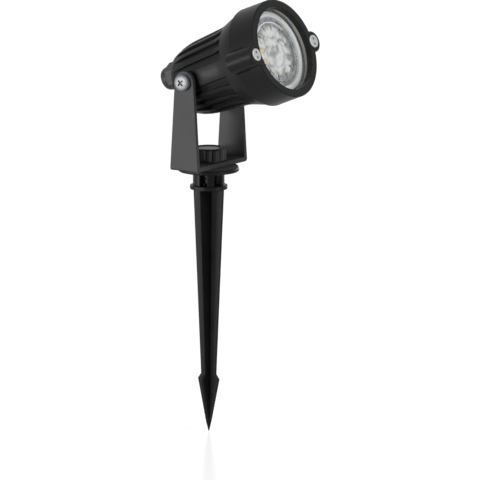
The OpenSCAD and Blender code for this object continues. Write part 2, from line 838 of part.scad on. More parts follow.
module spreader_screws() {
    head_s = spreader_front_s - small_head_h;
    color([0.75, 0.75, 0.75]) on_head() spreader_places() {
        rod(small_screw_r, spreader_back_s - spreader_hole_depth + end_gap, head_s + eps);
        rod(small_head_r, head_s, spreader_front_s - seat_gap / 4);
    }
}

// The driver board's length runs along the head, on the housing's rails.
module driver_board() {
    color([0.1, 0.4, 0.2]) on_head() translate([-driver_half, driver_y, driver_s])
        cube([2 * driver_half, driver_t, driver_len]);
}

// A rod that stands up from the driver board.
module upright(radius, low, high) {
    rotate([-90, 0, 0]) rod(radius, low, high);
}

module driver_capacitors() {
    cap_x = lead_half_gap + lead_r + cap_gap + cap_r;
    color([0.15, 0.15, 0.3]) on_head() for (side = ear_sides)
        translate([side * cap_x, 0, driver_end_s - cap_gap - cap_r])
            upright(cap_r, driver_top, driver_top + cap_h);
}

module driver_choke() {
    color([0.75, 0.4, 0.15]) on_head()
        translate([-choke_r - choke_gap, 0, driver_s + choke_at]) rotate([-90, 0, 0])
            ring(choke_r, choke_hole * choke_r, driver_top, driver_top + choke_h);
}

module driver_chips() {
    color([0.08, 0.08, 0.08]) on_head() for (k = [0, 1])
        translate([chip_places[k].x, driver_top, driver_s + chip_places[k].y]) cube(chip_sizes[k]);
}

module terminal_block() {
    back_s = driver_s + block_at;
    color([0.85, 0.85, 0.82]) on_head() difference() {
        translate([-block_w / 2, driver_top, back_s]) cube([block_w, block_h, block_d]);
        for (side = ear_sides) translate([side * block_hole_half, driver_top + block_hole_h, 0])
            rod(block_hole_r, back_s - over, back_s + block_hole_depth);
    }
}

module led_leads() {
    color([0.7, 0.1, 0.1]) on_head() for (side = ear_sides)
        translate([side * lead_half_gap, 0, 0]) {
            translate([0, lead_y, 0]) rod(lead_r, lead_start_s, board_front_s + lead_past);
            translate([0, 0, lead_start_s + lead_r]) upright(lead_r, driver_top, lead_y);
        }
}

module at_gland() {
    on_head() translate([0, gland_y, 0]) children();
}

module hex_bar(low, high) {
    translate([0, 0, low]) rotate([0, 0, 30]) cylinder(r = hex_corner_r, h = high - low, $fn = 6);
}

module gland_body() {
    color([0.1, 0.1, 0.1]) at_gland() difference() {
        union() {
            hex_bar(gland_hex_s, gland_rear_s - gland_ring_t);
            rod(gland_thread_r, gland_rear_s - gland_ring_t - eps, gland_inner_s);
            rod(spigot_r, spigot_end_s, gland_hex_s + eps);
        }
        rod(seal_r - seal_ledge, spigot_end_s - over, gland_inner_s + over);
        rod(seal_r + tap_fit, spigot_end_s - over, seal_front_s);
    }
}

module gland_ring() {
    color([0.03, 0.03, 0.03]) at_gland()
        ring(gland_thread_r + gland_ring_w, gland_thread_r + tap_fit,
             gland_rear_s - gland_ring_t, gland_rear_s);
}

module gland_seal() {
    color([0.05, 0.05, 0.05]) at_gland() ring(seal_r, seal_hole_r, seal_end_s, seal_front_s);
}

module gland_nut() {
    dome = [for (a = [0 : 18 : 90])
        [dome_end_r + (dome_r - dome_end_r) * cos(a), nut_flat_end_s - dome_len * sin(a)]];
    flat_low = nut_flat_end_s + over;
    flat_end = nut_flat_end_s - nut_chamfer;
    color([0.1, 0.1, 0.1]) at_gland() difference() {
        union() {
            intersection() {
                hex_bar(nut_flat_end_s - over, nut_front_s);
                rotate_extrude() polygon([[0, nut_front_s], [hex_corner_r, nut_front_s],
                    [hex_corner_r, flat_low], [dome_r, flat_end], [0, flat_end]]);
            }
            rotate_extrude() polygon(concat([[0, flat_low], [dome_r, flat_low]], dome,
                [[0, nut_end_s]]));
        }
        rod(spigot_r + seat_gap, spigot_end_s - end_gap, nut_front_s + over);
        rod(seal_r + seat_gap, seal_end_s, spigot_end_s);
        rod(cable_hole_r, nut_end_s - over, seal_end_s);
    }
}

ground_spike();
flange_washer();
yoke_bracket();
knob_washer();
clamp_knob();
heatsink_housing();
pivot_screw(-1);  // pivot_screw_near
pivot_screw(1);  // pivot_screw_far
spring_washers();
front_bezel();
bezel_screws();
front_glass();
glass_gasket();
optic_lens();
lens_holder();
led_board();
led_chips();
board_screws();
thermal_pad();
heat_spreader();
spreader_screws();
driver_board();
driver_capacitors();
driver_choke();
driver_chips();
terminal_block();
led_leads();
gland_body();
gland_ring();
gland_seal();
gland_nut();
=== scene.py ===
import math

import bmesh
import bpy
from mathutils import Matrix, Vector


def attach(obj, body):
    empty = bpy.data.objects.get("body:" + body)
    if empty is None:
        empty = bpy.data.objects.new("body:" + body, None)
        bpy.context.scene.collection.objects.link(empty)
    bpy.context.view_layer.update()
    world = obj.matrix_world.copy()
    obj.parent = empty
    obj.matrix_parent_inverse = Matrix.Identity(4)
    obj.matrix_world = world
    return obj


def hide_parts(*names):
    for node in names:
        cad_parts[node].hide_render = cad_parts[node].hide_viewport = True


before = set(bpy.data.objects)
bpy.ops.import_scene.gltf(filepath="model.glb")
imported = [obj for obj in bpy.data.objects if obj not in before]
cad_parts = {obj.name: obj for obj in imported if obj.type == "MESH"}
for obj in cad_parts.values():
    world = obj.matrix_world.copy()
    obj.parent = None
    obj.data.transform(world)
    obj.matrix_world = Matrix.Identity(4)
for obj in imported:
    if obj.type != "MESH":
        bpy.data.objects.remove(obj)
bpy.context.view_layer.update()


# GROUND SPIKE
# One black moulding of glass-filled nylon. Two crossed ribs taper to a barbed point;
# above the soil collar a windowed post holds the knob's thread, and a flat flange
# carries the bracket. All sizes in this file are in millimetres until a piece is made.
def turned(profile, steps=96):
    """A shape turned about Z from (radius, height) points, on the axis or round a hollow."""
    shape = bmesh.new()
    row = [shape.verts.new((radius, 0, height)) for radius, height in profile]
    pairs = list(zip(row, row[1:]))
    if profile[0][0] > 0:
        pairs.append((row[-1], row[0]))
    edges = [shape.edges.new(pair) for pair in pairs]
    bmesh.ops.spin(shape, geom=row + edges, cent=(0, 0, 0), axis=(0, 0, 1),
                   angle=math.tau, steps=steps, use_merge=True)
    bmesh.ops.remove_doubles(shape, verts=shape.verts, dist=1e-4)
    bmesh.ops.recalc_face_normals(shape, faces=shape.faces)
    return shape


def swept(section, start, span, steps):
    """Part of a ring: a section of (radius, height) points swept about Z, its ends closed."""
    shape = bmesh.new()
    shape.faces.new([shape.verts.new((radius, 0, height)) for radius, height in section])
    shape.transform(Matrix.Rotation(math.radians(start), 4, "Z"))
    bmesh.ops.spin(shape, geom=shape.verts[:] + shape.edges[:] + shape.faces[:],
                   cent=(0, 0, 0), axis=(0, 0, 1), angle=math.radians(span), steps=steps)
    bmesh.ops.recalc_face_normals(shape, faces=shape.faces)
    return shape


def slab(outline, low, high):
    """A closed plate: an outline of (x, y) points drawn up from one height to another."""
    shape = bmesh.new()
    floor = shape.faces.new([shape.verts.new((x, y, low)) for x, y in outline])
    lifted = bmesh.ops.extrude_face_region(shape, geom=[floor])["geom"]
    bmesh.ops.translate(shape, vec=(0, 0, high - low),
                        verts=[v for v in lifted if isinstance(v, bmesh.types.BMVert)])
    bmesh.ops.recalc_face_normals(shape, faces=shape.faces)
    return shape


def gathered(shapes):
    """Several shapes as one, each still closed by itself."""
    whole = bmesh.new()
    for shape in shapes:
        rough = bpy.data.meshes.new("rough")
        shape.to_mesh(rough)
        shape.free()
        whole.from_mesh(rough)
        bpy.data.meshes.remove(rough)
    return whole


def worked(base, tool, operation):
    """One closed shape joined (UNION), cut (DIFFERENCE) or crossed (INTERSECT) with another."""
    pair = []
    for shape in (base, tool):
        rough = bpy.data.meshes.new("rough")
        shape.to_mesh(rough)
        shape.free()
        pair.append(bpy.data.objects.new("rough", rough))
        bpy.context.scene.collection.objects.link(pair[-1])
    step = pair[0].modifiers.new("work", "BOOLEAN")
    step.operation, step.solver, step.object = operation, "EXACT", pair[1]
    result = bmesh.new()
    result.from_object(pair[0], bpy.context.evaluated_depsgraph_get())
    for rough in pair:
        mesh = rough.data
        bpy.data.objects.remove(rough)
        bpy.data.meshes.remove(mesh)
    return result


sharpest = math.radians(28)


def leave_square(shape, height, reach=0.01):
    """Marks a shape's sharp edges to be rounded, but for those within a reach of a height."""
    rounded = shape.edges.layers.float.new("bevel_weight_edge")
    for rim in shape.edges:
        if rim.calc_face_angle(0) > sharpest:
            if all(abs(v.co.z - height) < reach for v in rim.verts):
                rim.smooth = False
            else:
                rim[rounded] = 1


def made(shape, name, finishes, edge=0, segments=2):
    """The finished piece in metres, with its sharp edges rounded by a width in millimetres."""
    shape.transform(Matrix.Scale(0.001, 4))
    mesh = bpy.data.meshes.new(name)
    shape.to_mesh(mesh)
    shape.free()
    mesh.shade_smooth()
    for finish in finishes:
        mesh.materials.append(finish)
    piece = bpy.data.objects.new(name, mesh)
    bpy.context.scene.collection.objects.link(piece)
    if edge:
        rounding = piece.modifiers.new("rounding", "BEVEL")
        rounding.width, rounding.segments = edge / 1000, segments
        chosen = "bevel_weight_edge" in mesh.attributes
        rounding.limit_method = "WEIGHT" if chosen else "ANGLE"
        rounding.angle_limit = sharpest
        rounding.harden_normals, rounding.use_clamp_overlap = True, False
    else:
        mesh.set_sharp_from_angle(angle=sharpest)
    return piece


def linear(code):
    """An sRGB hex colour as the linear colour that the shaders work in."""
    parts = [int(code[i:i + 2], 16) / 255 for i in (1, 3, 5)]
    return [c / 12.92 if c <= 0.04045 else ((c + 0.055) / 1.055) ** 2.4 for c in parts] + [1]


def add_node(tree, kind, settings=(), sockets=()):
    """Adds a node; a socket that is given an output is linked to it, and others are set."""
    node = tree.nodes[kind] if kind in tree.nodes else tree.nodes.new(kind)
    for name, value in dict(settings).items():
        setattr(node, name, value)
    for name, value in dict(sockets).items():
        if isinstance(value, bpy.types.NodeSocket):
            tree.links.new(value, node.inputs[name])
        else:
            node.inputs[name].default_value = value
    return node


def new_material(name):
    """A new material, its node tree and the coordinates of the piece that wears it."""
    material = bpy.data.materials.new(name)
    material.use_nodes = True
    tree = material.node_tree
    return material, tree, add_node(tree, "ShaderNodeTexCoord").outputs["Object"]


# Glass-filled nylon from a fine-textured mould: the glass near the skin makes the
# gloss uneven, and the texture breaks it up. The texture is drawn at 1.1 mm, coarser
# than the real 0.2 mm, so that it shows.
spike_nylon, tree, place = new_material("glass_filled_nylon")
clouds = add_node(tree, "ShaderNodeTexNoise", sockets={
    "Vector": place, "Scale": 1 / 0.017, "Detail": 4, "Roughness": 0.55})
grain = add_node(tree, "ShaderNodeTexNoise", sockets={
    "Vector": place, "Scale": 1 / 0.0011, "Detail": 2})
tint = add_node(tree, "ShaderNodeMix", {"data_type": "RGBA"}, {
    0: clouds.outputs["Fac"], 6: linear("#080809"), 7: linear("#0f0f10")})
gloss = add_node(tree, "ShaderNodeMapRange", sockets={
    "Value": clouds.outputs["Fac"], "From Min": 0.3, "From Max": 0.7,
    "To Min": 0.34, "To Max": 0.46})
texture = add_node(tree, "ShaderNodeBump", sockets={
    "Height": grain.outputs["Fac"], "Strength": 0.25, "Distance": 0.0001})
add_node(tree, "Principled BSDF", sockets={
    "Base Color": tint.outputs[2], "Roughness": gloss.outputs["Result"],
    "IOR": 1.53, "Specular IOR Level": 0.08, "Normal": texture.outputs["Normal"]})

rib_thick, tip_z, stud_bore_r, collar_high, flange_high = 1.75, -150.4, 5.16, 2.4, 13.4
rib_outline = [(-10.85, 0.4), (-5.2, -114.8), (-7.5, -118), (-0.167, -151),
               (0.167, -151), (7.5, -118), (5.2, -114.8), (10.85, 0.4)]
ribs = []
for turn in (0, 90):
    rib = slab(rib_outline, -rib_thick / 2, rib_thick / 2)
    rib.transform(Matrix.Rotation(math.radians(turn), 4, "Z")
                  @ Matrix.Rotation(math.radians(90), 4, "X"))
    sharpened = turned([(0, tip_z), (0.3, tip_z), (1.75, -144.4), (12, -134.15), (12, 1), (0, 1)])
    ribs.append(worked(rib, sharpened, "INTERSECT"))
spike = worked(ribs[0], ribs[1], "UNION")
collar = turned([(0, 0), (11.5, 0), (11.5, collar_high), (0, collar_high)])
spike = worked(spike, collar, "UNION")
# The post's walls and bars run a little way into the collar and the flange.
post_r, post_low, post_high = 9.7, 2.2, 11.1
wall = [(stud_bore_r, post_low), (post_r, post_low), (post_r, post_high), (stud_bore_r, post_high)]
bar = [(7.2, post_low), (post_r, post_low), (post_r, post_high), (7.2, post_high)]
post = gathered([swept(wall, 272, 86, 24), swept(wall, 92, 86, 24),
                 swept(bar, 208, 26, 8), swept(bar, 28, 26, 8)])
spike = worked(spike, post, "UNION")
flange = turned([(stud_bore_r, 10.9), (18.1, 10.9), (18.7, 11.5), (18.7, 12.8),
                 (18.1, flange_high), (stud_bore_r, flange_high)], 128)
spike = worked(spike, flange, "UNION")
# The point's last 6 mm stay sharp.
leave_square(spike, tip_z, 6.1)
ground_spike = made(spike, "spike_moulding", [spike_nylon], edge=0.22)
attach(ground_spike, "spike")
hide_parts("ground_spike")


# FLANGE WASHER
# A die-cut black rubber washer between the flange and the bracket, a little smaller
# than the flange. It lets the bracket turn stiffly and keeps its paint whole.
cut_rubber, tree, place = new_material("die_cut_rubber")
speckle = add_node(tree, "ShaderNodeTexNoise", sockets={
    "Vector": place, "Scale": 1 / 0.0007, "Detail": 3})
tint = add_node(tree, "ShaderNodeMix", {"data_type": "RGBA"}, {
    0: speckle.outputs["Fac"], 6: linear("#0f0f0f"), 7: linear("#1a1a1a")})
pores = add_node(tree, "ShaderNodeBump", sockets={
    "Height": speckle.outputs["Fac"], "Strength": 0.4, "Distance": 0.0001})
add_node(tree, "Principled BSDF", sockets={
    "Base Color": tint.outputs[2], "Roughness": 0.85, "IOR": 1.52,
    "Specular IOR Level": 0.3, "Normal": pores.outputs["Normal"]})

washer_top = 14.1
flange_washer = made(turned([(stud_bore_r, flange_high), (18, flange_high), (18, washer_top),
                             (stud_bore_r, washer_top)], 128),
                     "rubber_flange_washer", [cut_rubber], edge=0.12)
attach(flange_washer, "spike")
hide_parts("flange_washer")


# YOKE BRACKET
# A U of 2.8 mm steel strip, blanked to a taper with round ends, bent at two corners
# and powder coated dark grey. Its foot turns on the flange and its arms hold the head.
bracket_coat, tree, place = new_material("dark_grey_powder_coat")
# Powder coat flows into a faint orange peel, drawn at 1.4 mm where the real one is 0.8.
peel = add_node(tree, "ShaderNodeTexNoise", sockets={
    "Vector": place, "Scale": 1 / 0.0014, "Detail": 2, "Roughness": 0.4})
drift = add_node(tree, "ShaderNodeTexNoise", sockets={
    "Vector": place, "Scale": 1 / 0.02, "Detail": 3})
tint = add_node(tree, "ShaderNodeMix", {"data_type": "RGBA"}, {
    0: drift.outputs["Fac"], 6: linear("#3a3a3b"), 7: linear("#424243")})
gloss = add_node(tree, "ShaderNodeMapRange", sockets={
    "Value": peel.outputs["Fac"], "From Min": 0.3, "From Max": 0.7,
    "To Min": 0.46, "To Max": 0.56})
skin = add_node(tree, "ShaderNodeBump", sockets={
    "Height": peel.outputs["Fac"], "Strength": 0.18, "Distance": 0.0001})
add_node(tree, "Principled BSDF", sockets={
    "Base Color": tint.outputs[2], "Roughness": gloss.outputs["Result"],
    "IOR": 1.5, "Specular IOR Level": 0.04, "Normal": skin.outputs["Normal"]})

arm_out, arm_in = 27.45, 24.65
bracket_low, bracket_high, bend = 14.2, 17.0, 2.0
pivot_z, arm_top_r = 69.3, 6.75
base_half = 10.25
reach = math.hypot(base_half, pivot_z - bracket_low)
lean = (math.acos(arm_top_r / reach)
        - math.atan2(pivot_z - bracket_low, base_half))
# The arm's outline from the side: a vertex spun over the round top, then the taper.
side_view = bmesh.new()
first = side_view.verts.new((0, arm_top_r * math.cos(lean), pivot_z + arm_top_r * math.sin(lean)))
bmesh.ops.spin(side_view, geom=[first], cent=(0, 0, pivot_z), axis=(1, 0, 0),
               angle=math.pi - 2 * lean, steps=36)
side_view.verts.ensure_lookup_table()
round_top = side_view.verts[:]
feet = [side_view.verts.new((0, -base_half, bracket_low - 1)),
        side_view.verts.new((0, base_half, bracket_low - 1))]
outline = side_view.faces.new(round_top + feet)
side_view.transform(Matrix.Translation((-40, 0, 0)))
drawn = bmesh.ops.extrude_face_region(side_view, geom=[outline])["geom"]
bmesh.ops.translate(side_view, vec=(80, 0, 0),
                    verts=[v for v in drawn if isinstance(v, bmesh.types.BMVert)])
bmesh.ops.recalc_face_normals(side_view, faces=side_view.faces)
# The strip from the front: the U's outline, its two outer corners bent round.
strip = slab([(-arm_out, bracket_low), (arm_out, bracket_low), (arm_out, 80), (arm_in, 80),
              (arm_in, bracket_high), (-arm_in, bracket_high), (-arm_in, 80), (-arm_out, 80)],
             -20, 20)
strip.transform(Matrix.Rotation(math.radians(90), 4, "X"))
corners = [e for e in strip.edges
           if all(abs(v.co.z - bracket_low) < 0.01 and abs(abs(v.co.x) - arm_out) < 0.01
                  for v in e.verts)]
bmesh.ops.bevel(strip, geom=corners, offset=bend, offset_type="OFFSET", segments=8,
                profile=0.5, affect="EDGES", material=-1)
bracket = worked(strip, side_view, "INTERSECT")
pivot_hole = turned([(0, -40), (2.56, -40), (2.56, 40), (0, 40)], 48)
pivot_hole.transform(Matrix.Translation((0, 0, pivot_z)) @ Matrix.Rotation(math.radians(90), 4, "Y"))
stud_hole = turned([(0, 10), (stud_bore_r, 10), (stud_bore_r, 20), (0, 20)], 64)
bracket = worked(bracket, gathered([pivot_hole, stud_hole]), "DIFFERENCE")
yoke_bracket = made(bracket, "bent_yoke", [bracket_coat], edge=0.3, segments=3)
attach(yoke_bracket, "yoke")
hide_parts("yoke_bracket")


# KNOB WASHER AND CLAMP KNOB
# The knob is black nylon, moulded in one with its coarse threaded stud: twelve lobes
# for wet fingers, a bevelled top with a shallow dish, and a plain washer under it.
knob_nylon, tree, place = new_material("moulded_nylon")
flow = add_node(tree, "ShaderNodeTexNoise", sockets={
    "Vector": place, "Scale": 1 / 0.006, "Detail": 3})
tint = add_node(tree, "ShaderNodeMix", {"data_type": "RGBA"}, {
    0: flow.outputs["Fac"], 6: linear("#262627"), 7: linear("#323233")})
gloss = add_node(tree, "ShaderNodeMapRange", sockets={
    "Value": flow.outputs["Fac"], "From Min": 0.3, "From Max": 0.7,
    "To Min": 0.3, "To Max": 0.4})
grain = add_node(tree, "ShaderNodeTexNoise", sockets={
    "Vector": place, "Scale": 1 / 0.0009, "Detail": 2})
texture = add_node(tree, "ShaderNodeBump", sockets={
    "Height": grain.outputs["Fac"], "Strength": 0.15, "Distance": 0.0001})
add_node(tree, "Principled BSDF", sockets={
    "Base Color": tint.outputs[2], "Roughness": gloss.outputs["Result"],
    "IOR": 1.53, "Specular IOR Level": 0.09, "Normal": texture.outputs["Normal"]})

knob_washer = made(turned([(stud_bore_r, 17.1), (8.6, 17.1), (8.6, 18.0), (stud_bore_r, 18.0)]),
                   "knob_thrust_washer", [knob_nylon], edge=0.15)
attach(knob_washer, "lock_washer")
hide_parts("knob_washer")

knob_low, knob_high = 18.1, 25.7
lobes, lobe_r, lobe_at = 12, 3.0, 7.75
half_lobe = math.pi / lobes
flank = math.asin(lobe_at / lobe_r * math.sin(half_lobe)) + half_lobe
# One lobe is a vertex spun about the lobe's middle, and twelve of them close the outline.
head = bmesh.new()
start = head.verts.new((lobe_at + lobe_r * math.cos(flank), -lobe_r * math.sin(flank), knob_low))
bmesh.ops.spin(head, geom=[start], cent=(lobe_at, 0, knob_low), axis=(0, 0, 1),
               angle=2 * flank, steps=12)
bmesh.ops.spin(head, geom=head.verts[:] + head.edges[:], cent=(0, 0, 0), axis=(0, 0, 1),
               angle=math.tau * (lobes - 1) / lobes, steps=lobes - 1, use_duplicate=True)
bmesh.ops.remove_doubles(head, verts=head.verts, dist=0.01)
bmesh.ops.contextual_create(head, geom=head.edges[:])
raised = bmesh.ops.extrude_face_region(head, geom=head.faces[:])["geom"]
bmesh.ops.translate(head, vec=(0, 0, knob_high + 2 - knob_low),
                    verts=[v for v in raised if isinstance(v, bmesh.types.BMVert)])
bmesh.ops.recalc_face_normals(head, faces=head.faces)
dish = knob_high - 0.6
bevelled_top = turned([(0, knob_low - 1), (12, knob_low - 1), (12, knob_high - 2.45),
                       (9.55, knob_high), (8.35, knob_high), (8.1, dish), (0, dish)], 144)
head = worked(head, bevelled_top, "INTERSECT")
# The stud's thread is a trapezoid swept along a helix, sunk into a round core.
thread_pitch, turns, thread_steps = 2.5, 3.7, 32
stud = turned([(0, 3.2), (3.6, 3.2), (4.2, 3.8), (4.2, 13.1), (5.1, 13.4), (5.1, 18.2), (0, 18.2)], 64)
thread = bmesh.new()
thread.faces.new([thread.verts.new((radius, 0, height)) for radius, height in
                  ((4.0, 3.4), (5.1, 4.05), (5.1, 4.55), (4.0, 5.2))])
bmesh.ops.spin(thread, geom=thread.verts[:] + thread.edges[:] + thread.faces[:],
               cent=(0, 0, 0), axis=(0, 0, 1), angle=math.tau * turns,
               steps=int(thread_steps * turns), dvec=(0, 0, thread_pitch / thread_steps))
bmesh.ops.recalc_face_normals(thread, faces=thread.faces)
clamp_knob = made(gathered([head, stud, thread]), "lobed_clamp_knob", [knob_nylon], edge=0.18)
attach(clamp_knob, "knob")
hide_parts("clamp_knob")


# HEATSINK HOUSING
# Die-cast aluminium, powder coated black. Sixteen fins run back from a wide drum that
# carries an ear at each side; smooth pads and round bosses meet the bracket's arms.
housing_coat, tree, place = new_material("black_powder_coat")
# A finer orange peel than the bracket's, drawn at 1.2 mm so that it shows.
peel = add_node(tree, "ShaderNodeTexNoise", sockets={
    "Vector": place, "Scale": 1 / 0.0012, "Detail": 2, "Roughness": 0.4})
drift = add_node(tree, "ShaderNodeTexNoise", sockets={
    "Vector": place, "Scale": 1 / 0.015, "Detail": 3})
tint = add_node(tree, "ShaderNodeMix", {"data_type": "RGBA"}, {
    0: drift.outputs["Fac"], 6: linear("#0f0f10"), 7: linear("#161617")})
gloss = add_node(tree, "ShaderNodeMapRange", sockets={
    "Value": peel.outputs["Fac"], "From Min": 0.3, "From Max": 0.7,
    "To Min": 0.33, "To Max": 0.42})
skin = add_node(tree, "ShaderNodeBump", sockets={
    "Height": peel.outputs["Fac"], "Strength": 0.12, "Distance": 0.0001})
add_node(tree, "Principled BSDF", sockets={
    "Base Color": tint.outputs[2], "Roughness": gloss.outputs["Result"],
    "IOR": 1.5, "Specular IOR Level": 0.1, "Normal": skin.outputs["Normal"]})

# The head is drawn along Z with its pivot at the origin, then tilted 22 degrees up.
on_head = Matrix.Translation((0, 0, pivot_z)) @ Matrix.Rotation(math.radians(68), 4, "X")
drum_r, drum_s, seat_s, rear_s = 31.2, 41.0, 52.3, -14.2
envelope = [(0, rear_s)]
for k in range(21):
    s = rear_s + (2 - rear_s) * k / 20
    envelope.append((math.sqrt(48 ** 2 - (s - 5.828) ** 2) - 24.447, s))
for k in range(21):
    # A smooth blend from the fins' slight taper to the wider flare before the drum.
    u = k / 20
    envelope.append(((2 * u ** 3 - 3 * u ** 2 + 1) * 25.0 + (3 * u ** 2 - 2 * u ** 3) * 29.8
                     + (u ** 3 - 2 * u ** 2 + u) * 1.52 + (u ** 3 - u ** 2) * 1.9, 22 + 19 * u))
envelope += [(29.8, drum_s + 4), (0, drum_s + 4)]
# Sixty steps turned by half a step keep the long facets clear of the fins' edges.
half_step = Matrix.Rotation(math.radians(3), 4, "Z")
body = turned(envelope, 60)
body.transform(half_step)

fin_half, groove_front = 1.375, 30.0
fin_turns = sorted(side + way * (28.15 + 17.3 * k)
                   for side in (0, 180) for way in (-1, 1) for k in range(4))
grooves = []
for k, turn in enumerate(fin_turns):
    after = fin_turns[(k + 1) % len(fin_turns)]
    corners = []
    for angle, offset, reaches in ((turn, fin_half, (18.5, 40)), (after, -fin_half, (40, 18.5))):
        along = Vector((math.cos(math.radians(angle)), math.sin(math.radians(angle))))
        across = Vector((-along.y, along.x))
        corners += [tuple(reach * along + offset * across) for reach in reaches]
    grooves.append(slab(corners, -18, groove_front))
# The grooves' floor widens towards the front by 8 hundredths of the way.
floor_low, floor_high = -20, 32
floor = turned([(0, floor_low), (20.5 + 0.08 * (9.2 + floor_low), floor_low),
                (20.5 + 0.08 * (9.2 + floor_high), floor_high), (0, floor_high)], 60)
floor.transform(half_step)
grooves = worked(gathered(grooves), floor, "DIFFERENCE")
# Between the grooves a pad at each side keeps the envelope's full width.
pad_half, pad_from = 5.5, 7.7
kept = [slab([(x0, -pad_half), (x1, -pad_half), (x1, pad_half), (x0, pad_half)], pad_from, 34)
        for x0, x1 in ((15, 45), (-45, -15))]
grooves = worked(grooves, gathered(kept), "DIFFERENCE")
body = worked(body, grooves, "DIFFERENCE")
drum = turned([(0, drum_s), (drum_r, drum_s), (drum_r, seat_s), (0, seat_s)], 144)
ear_at, ear_r = 31.5, 6.6
ears = []
for side in (-1, 1):
    ear = turned([(0, drum_s), (ear_r, drum_s), (ear_r, seat_s), (0, seat_s)], 64)
    ear.transform(Matrix.Translation((side * ear_at, 0, 0)))
    ears.append(ear)
drum = worked(drum, gathered(ears), "UNION")
body = worked(body, drum, "UNION")
chamber = turned([(0, -11.4), (18, -11.4), (18, 26), (20.5, 26), (20.5, 37.4), (25.9, 37.4),
                  (25.9, 54), (0, 54)], 144)
body = worked(body, chamber, "DIFFERENCE")
bosses = []
for side in (-1, 1):
    boss = turned([(0, 15.5), (6, 15.5), (6, 24.55), (0, 24.55)], 64)
    boss.transform(Matrix.Rotation(math.radians(90 * side), 4, "Y"))
    bosses.append(boss)
    rail = slab([(side * 14, -9), (side * 18.8, -9), (side * 18.8, -7.4), (side * 14, -7.4)][::side],
                -12, 19.6)
    bosses.append(rail)
body = worked(body, gathered(bosses), "UNION")
# Holes for the pivot, bezel and spreader screws, and for the cable gland.
drilled = []
for side in (-1, 1):
    hole = turned([(0, 16.7), (2.52, 16.7), (2.52, 30), (0, 30)], 32)
    hole.transform(Matrix.Rotation(math.radians(90 * side), 4, "Y"))
    drilled.append(hole)
    hole = turned([(0, 42.2), (2.02, 42.2), (2.02, 54), (0, 54)], 32)
    hole.transform(Matrix.Translation((side * ear_at, 0, 0)))
    drilled.append(hole)
for k in range(3):
    hole = turned([(0, 31.4), (1.27, 31.4), (1.27, 38.5), (0, 38.5)], 24)
    hole.transform(Matrix.Rotation(math.radians(90 + 120 * k), 4, "Z")
                   @ Matrix.Translation((23, 0, 0)))
    drilled.append(hole)
gland_y = 7.3
hole = turned([(0, -16), (6.02, -16), (6.02, -10), (0, -10)], 48)
hole.transform(Matrix.Translation((0, gland_y, 0)))
drilled.append(hole)
body = worked(body, gathered(drilled), "DIFFERENCE")
# The rim that meets the bezel flush stays square.
leave_square(body, seat_s)
body.transform(on_head)
heatsink_housing = made(body, "finned_housing", [housing_coat], edge=0.3)
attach(heatsink_housing, "head")
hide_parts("heatsink_housing")


# PIVOT SCREWS AND SPRING WASHERS
# Two M5 pan-head screws of zinc-plated steel with a cross recess clamp the arms to the
# housing's bosses; a split spring washer under each head holds the tilt. The bezel's
# screws, further on, are stainless.
steels = {}
for steel_name, dull, bright, smoothest in (("zinc_plated_steel", "#65676a", "#7b7d7f", 0.52),
                                            ("stainless_steel", "#9c9e9d", "#b6b8b7", 0.36)):
    steel, tree, place = new_material(steel_name)
    # Tumbling leaves fine dull spots in the surface, drawn at 0.8 mm so that they show.
    spots = add_node(tree, "ShaderNodeTexNoise", sockets={
        "Vector": place, "Scale": 1 / 0.0008, "Detail": 3})
    tint = add_node(tree, "ShaderNodeMix", {"data_type": "RGBA"}, {
        0: spots.outputs["Fac"], 6: linear(dull), 7: linear(bright)})
    gloss = add_node(tree, "ShaderNodeMapRange", sockets={
        "Value": spots.outputs["Fac"], "From Min": 0.3, "From Max": 0.7,
        "To Min": smoothest, "To Max": smoothest + 0.1})
    dents = add_node(tree, "ShaderNodeBump", sockets={
        "Height": spots.outputs["Fac"], "Strength": 0.1, "Distance": 0.0001})
    add_node(tree, "Principled BSDF", sockets={
        "Base Color": tint.outputs[2], "Metallic": 1.0, "Roughness": gloss.outputs["Result"],
        "Normal": dents.outputs["Normal"]})
    steels[steel_name] = steel

washer_low, washer_high = 27.55, 28.45
screw_top = washer_high + 2.9
dome = [(2.2 + 2.75 * math.cos(math.radians(a)), washer_high + 1.6 + 1.3 * math.sin(math.radians(a)))
        for a in range(0, 91, 15)]
for side, name in ((-1, "near"), (1, "far")):
    screw = turned([(0, 17.3), (2, 17.3), (2.5, 17.8), (2.5, washer_high), (4.95, washer_high)]
                   + dome + [(0, screw_top)], 64)
    for turn in (45, 135):
        blade = slab([(-2.3, -0.5), (2.3, -0.5), (2.3, 0.5), (-2.3, 0.5)],
                     screw_top - 1.5, screw_top + 1)
        bmesh.ops.bevel(blade, geom=[e for e in blade.edges
                                     if abs(e.verts[0].co.z - e.verts[1].co.z) > 1],
                        offset=0.2, offset_type="OFFSET", segments=2, profile=0.5,
                        affect="EDGES", material=-1)
        blade.transform(Matrix.Rotation(math.radians(turn), 4, "Z"))
        screw = worked(screw, blade, "DIFFERENCE")
    screw.transform(Matrix.Translation((0, 0, pivot_z))
                    @ Matrix.Rotation(math.radians(90 * side), 4, "Y"))
    pivot_screw = made(screw, "pivot_screw_head_" + name, [steels["zinc_plated_steel"]],
                       edge=0.12)
    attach(pivot_screw, "head")
    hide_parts("pivot_screw_" + name)
split_rings = []
for side in (-1, 1):
    ring = swept([(2.56, washer_low), (4.6, washer_low), (4.6, washer_high), (2.56, washer_high)],
                 5, 350, 64)
    ring.transform(Matrix.Translation((0, 0, pivot_z))
                   @ Matrix.Rotation(math.radians(90 * side), 4, "Y"))
    split_rings.append(ring)
spring_washers = made(gathered(split_rings), "split_spring_washers", [steels["zinc_plated_steel"]],
                      edge=0.12)
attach(spring_washers, "head")
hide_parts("spring_washers")


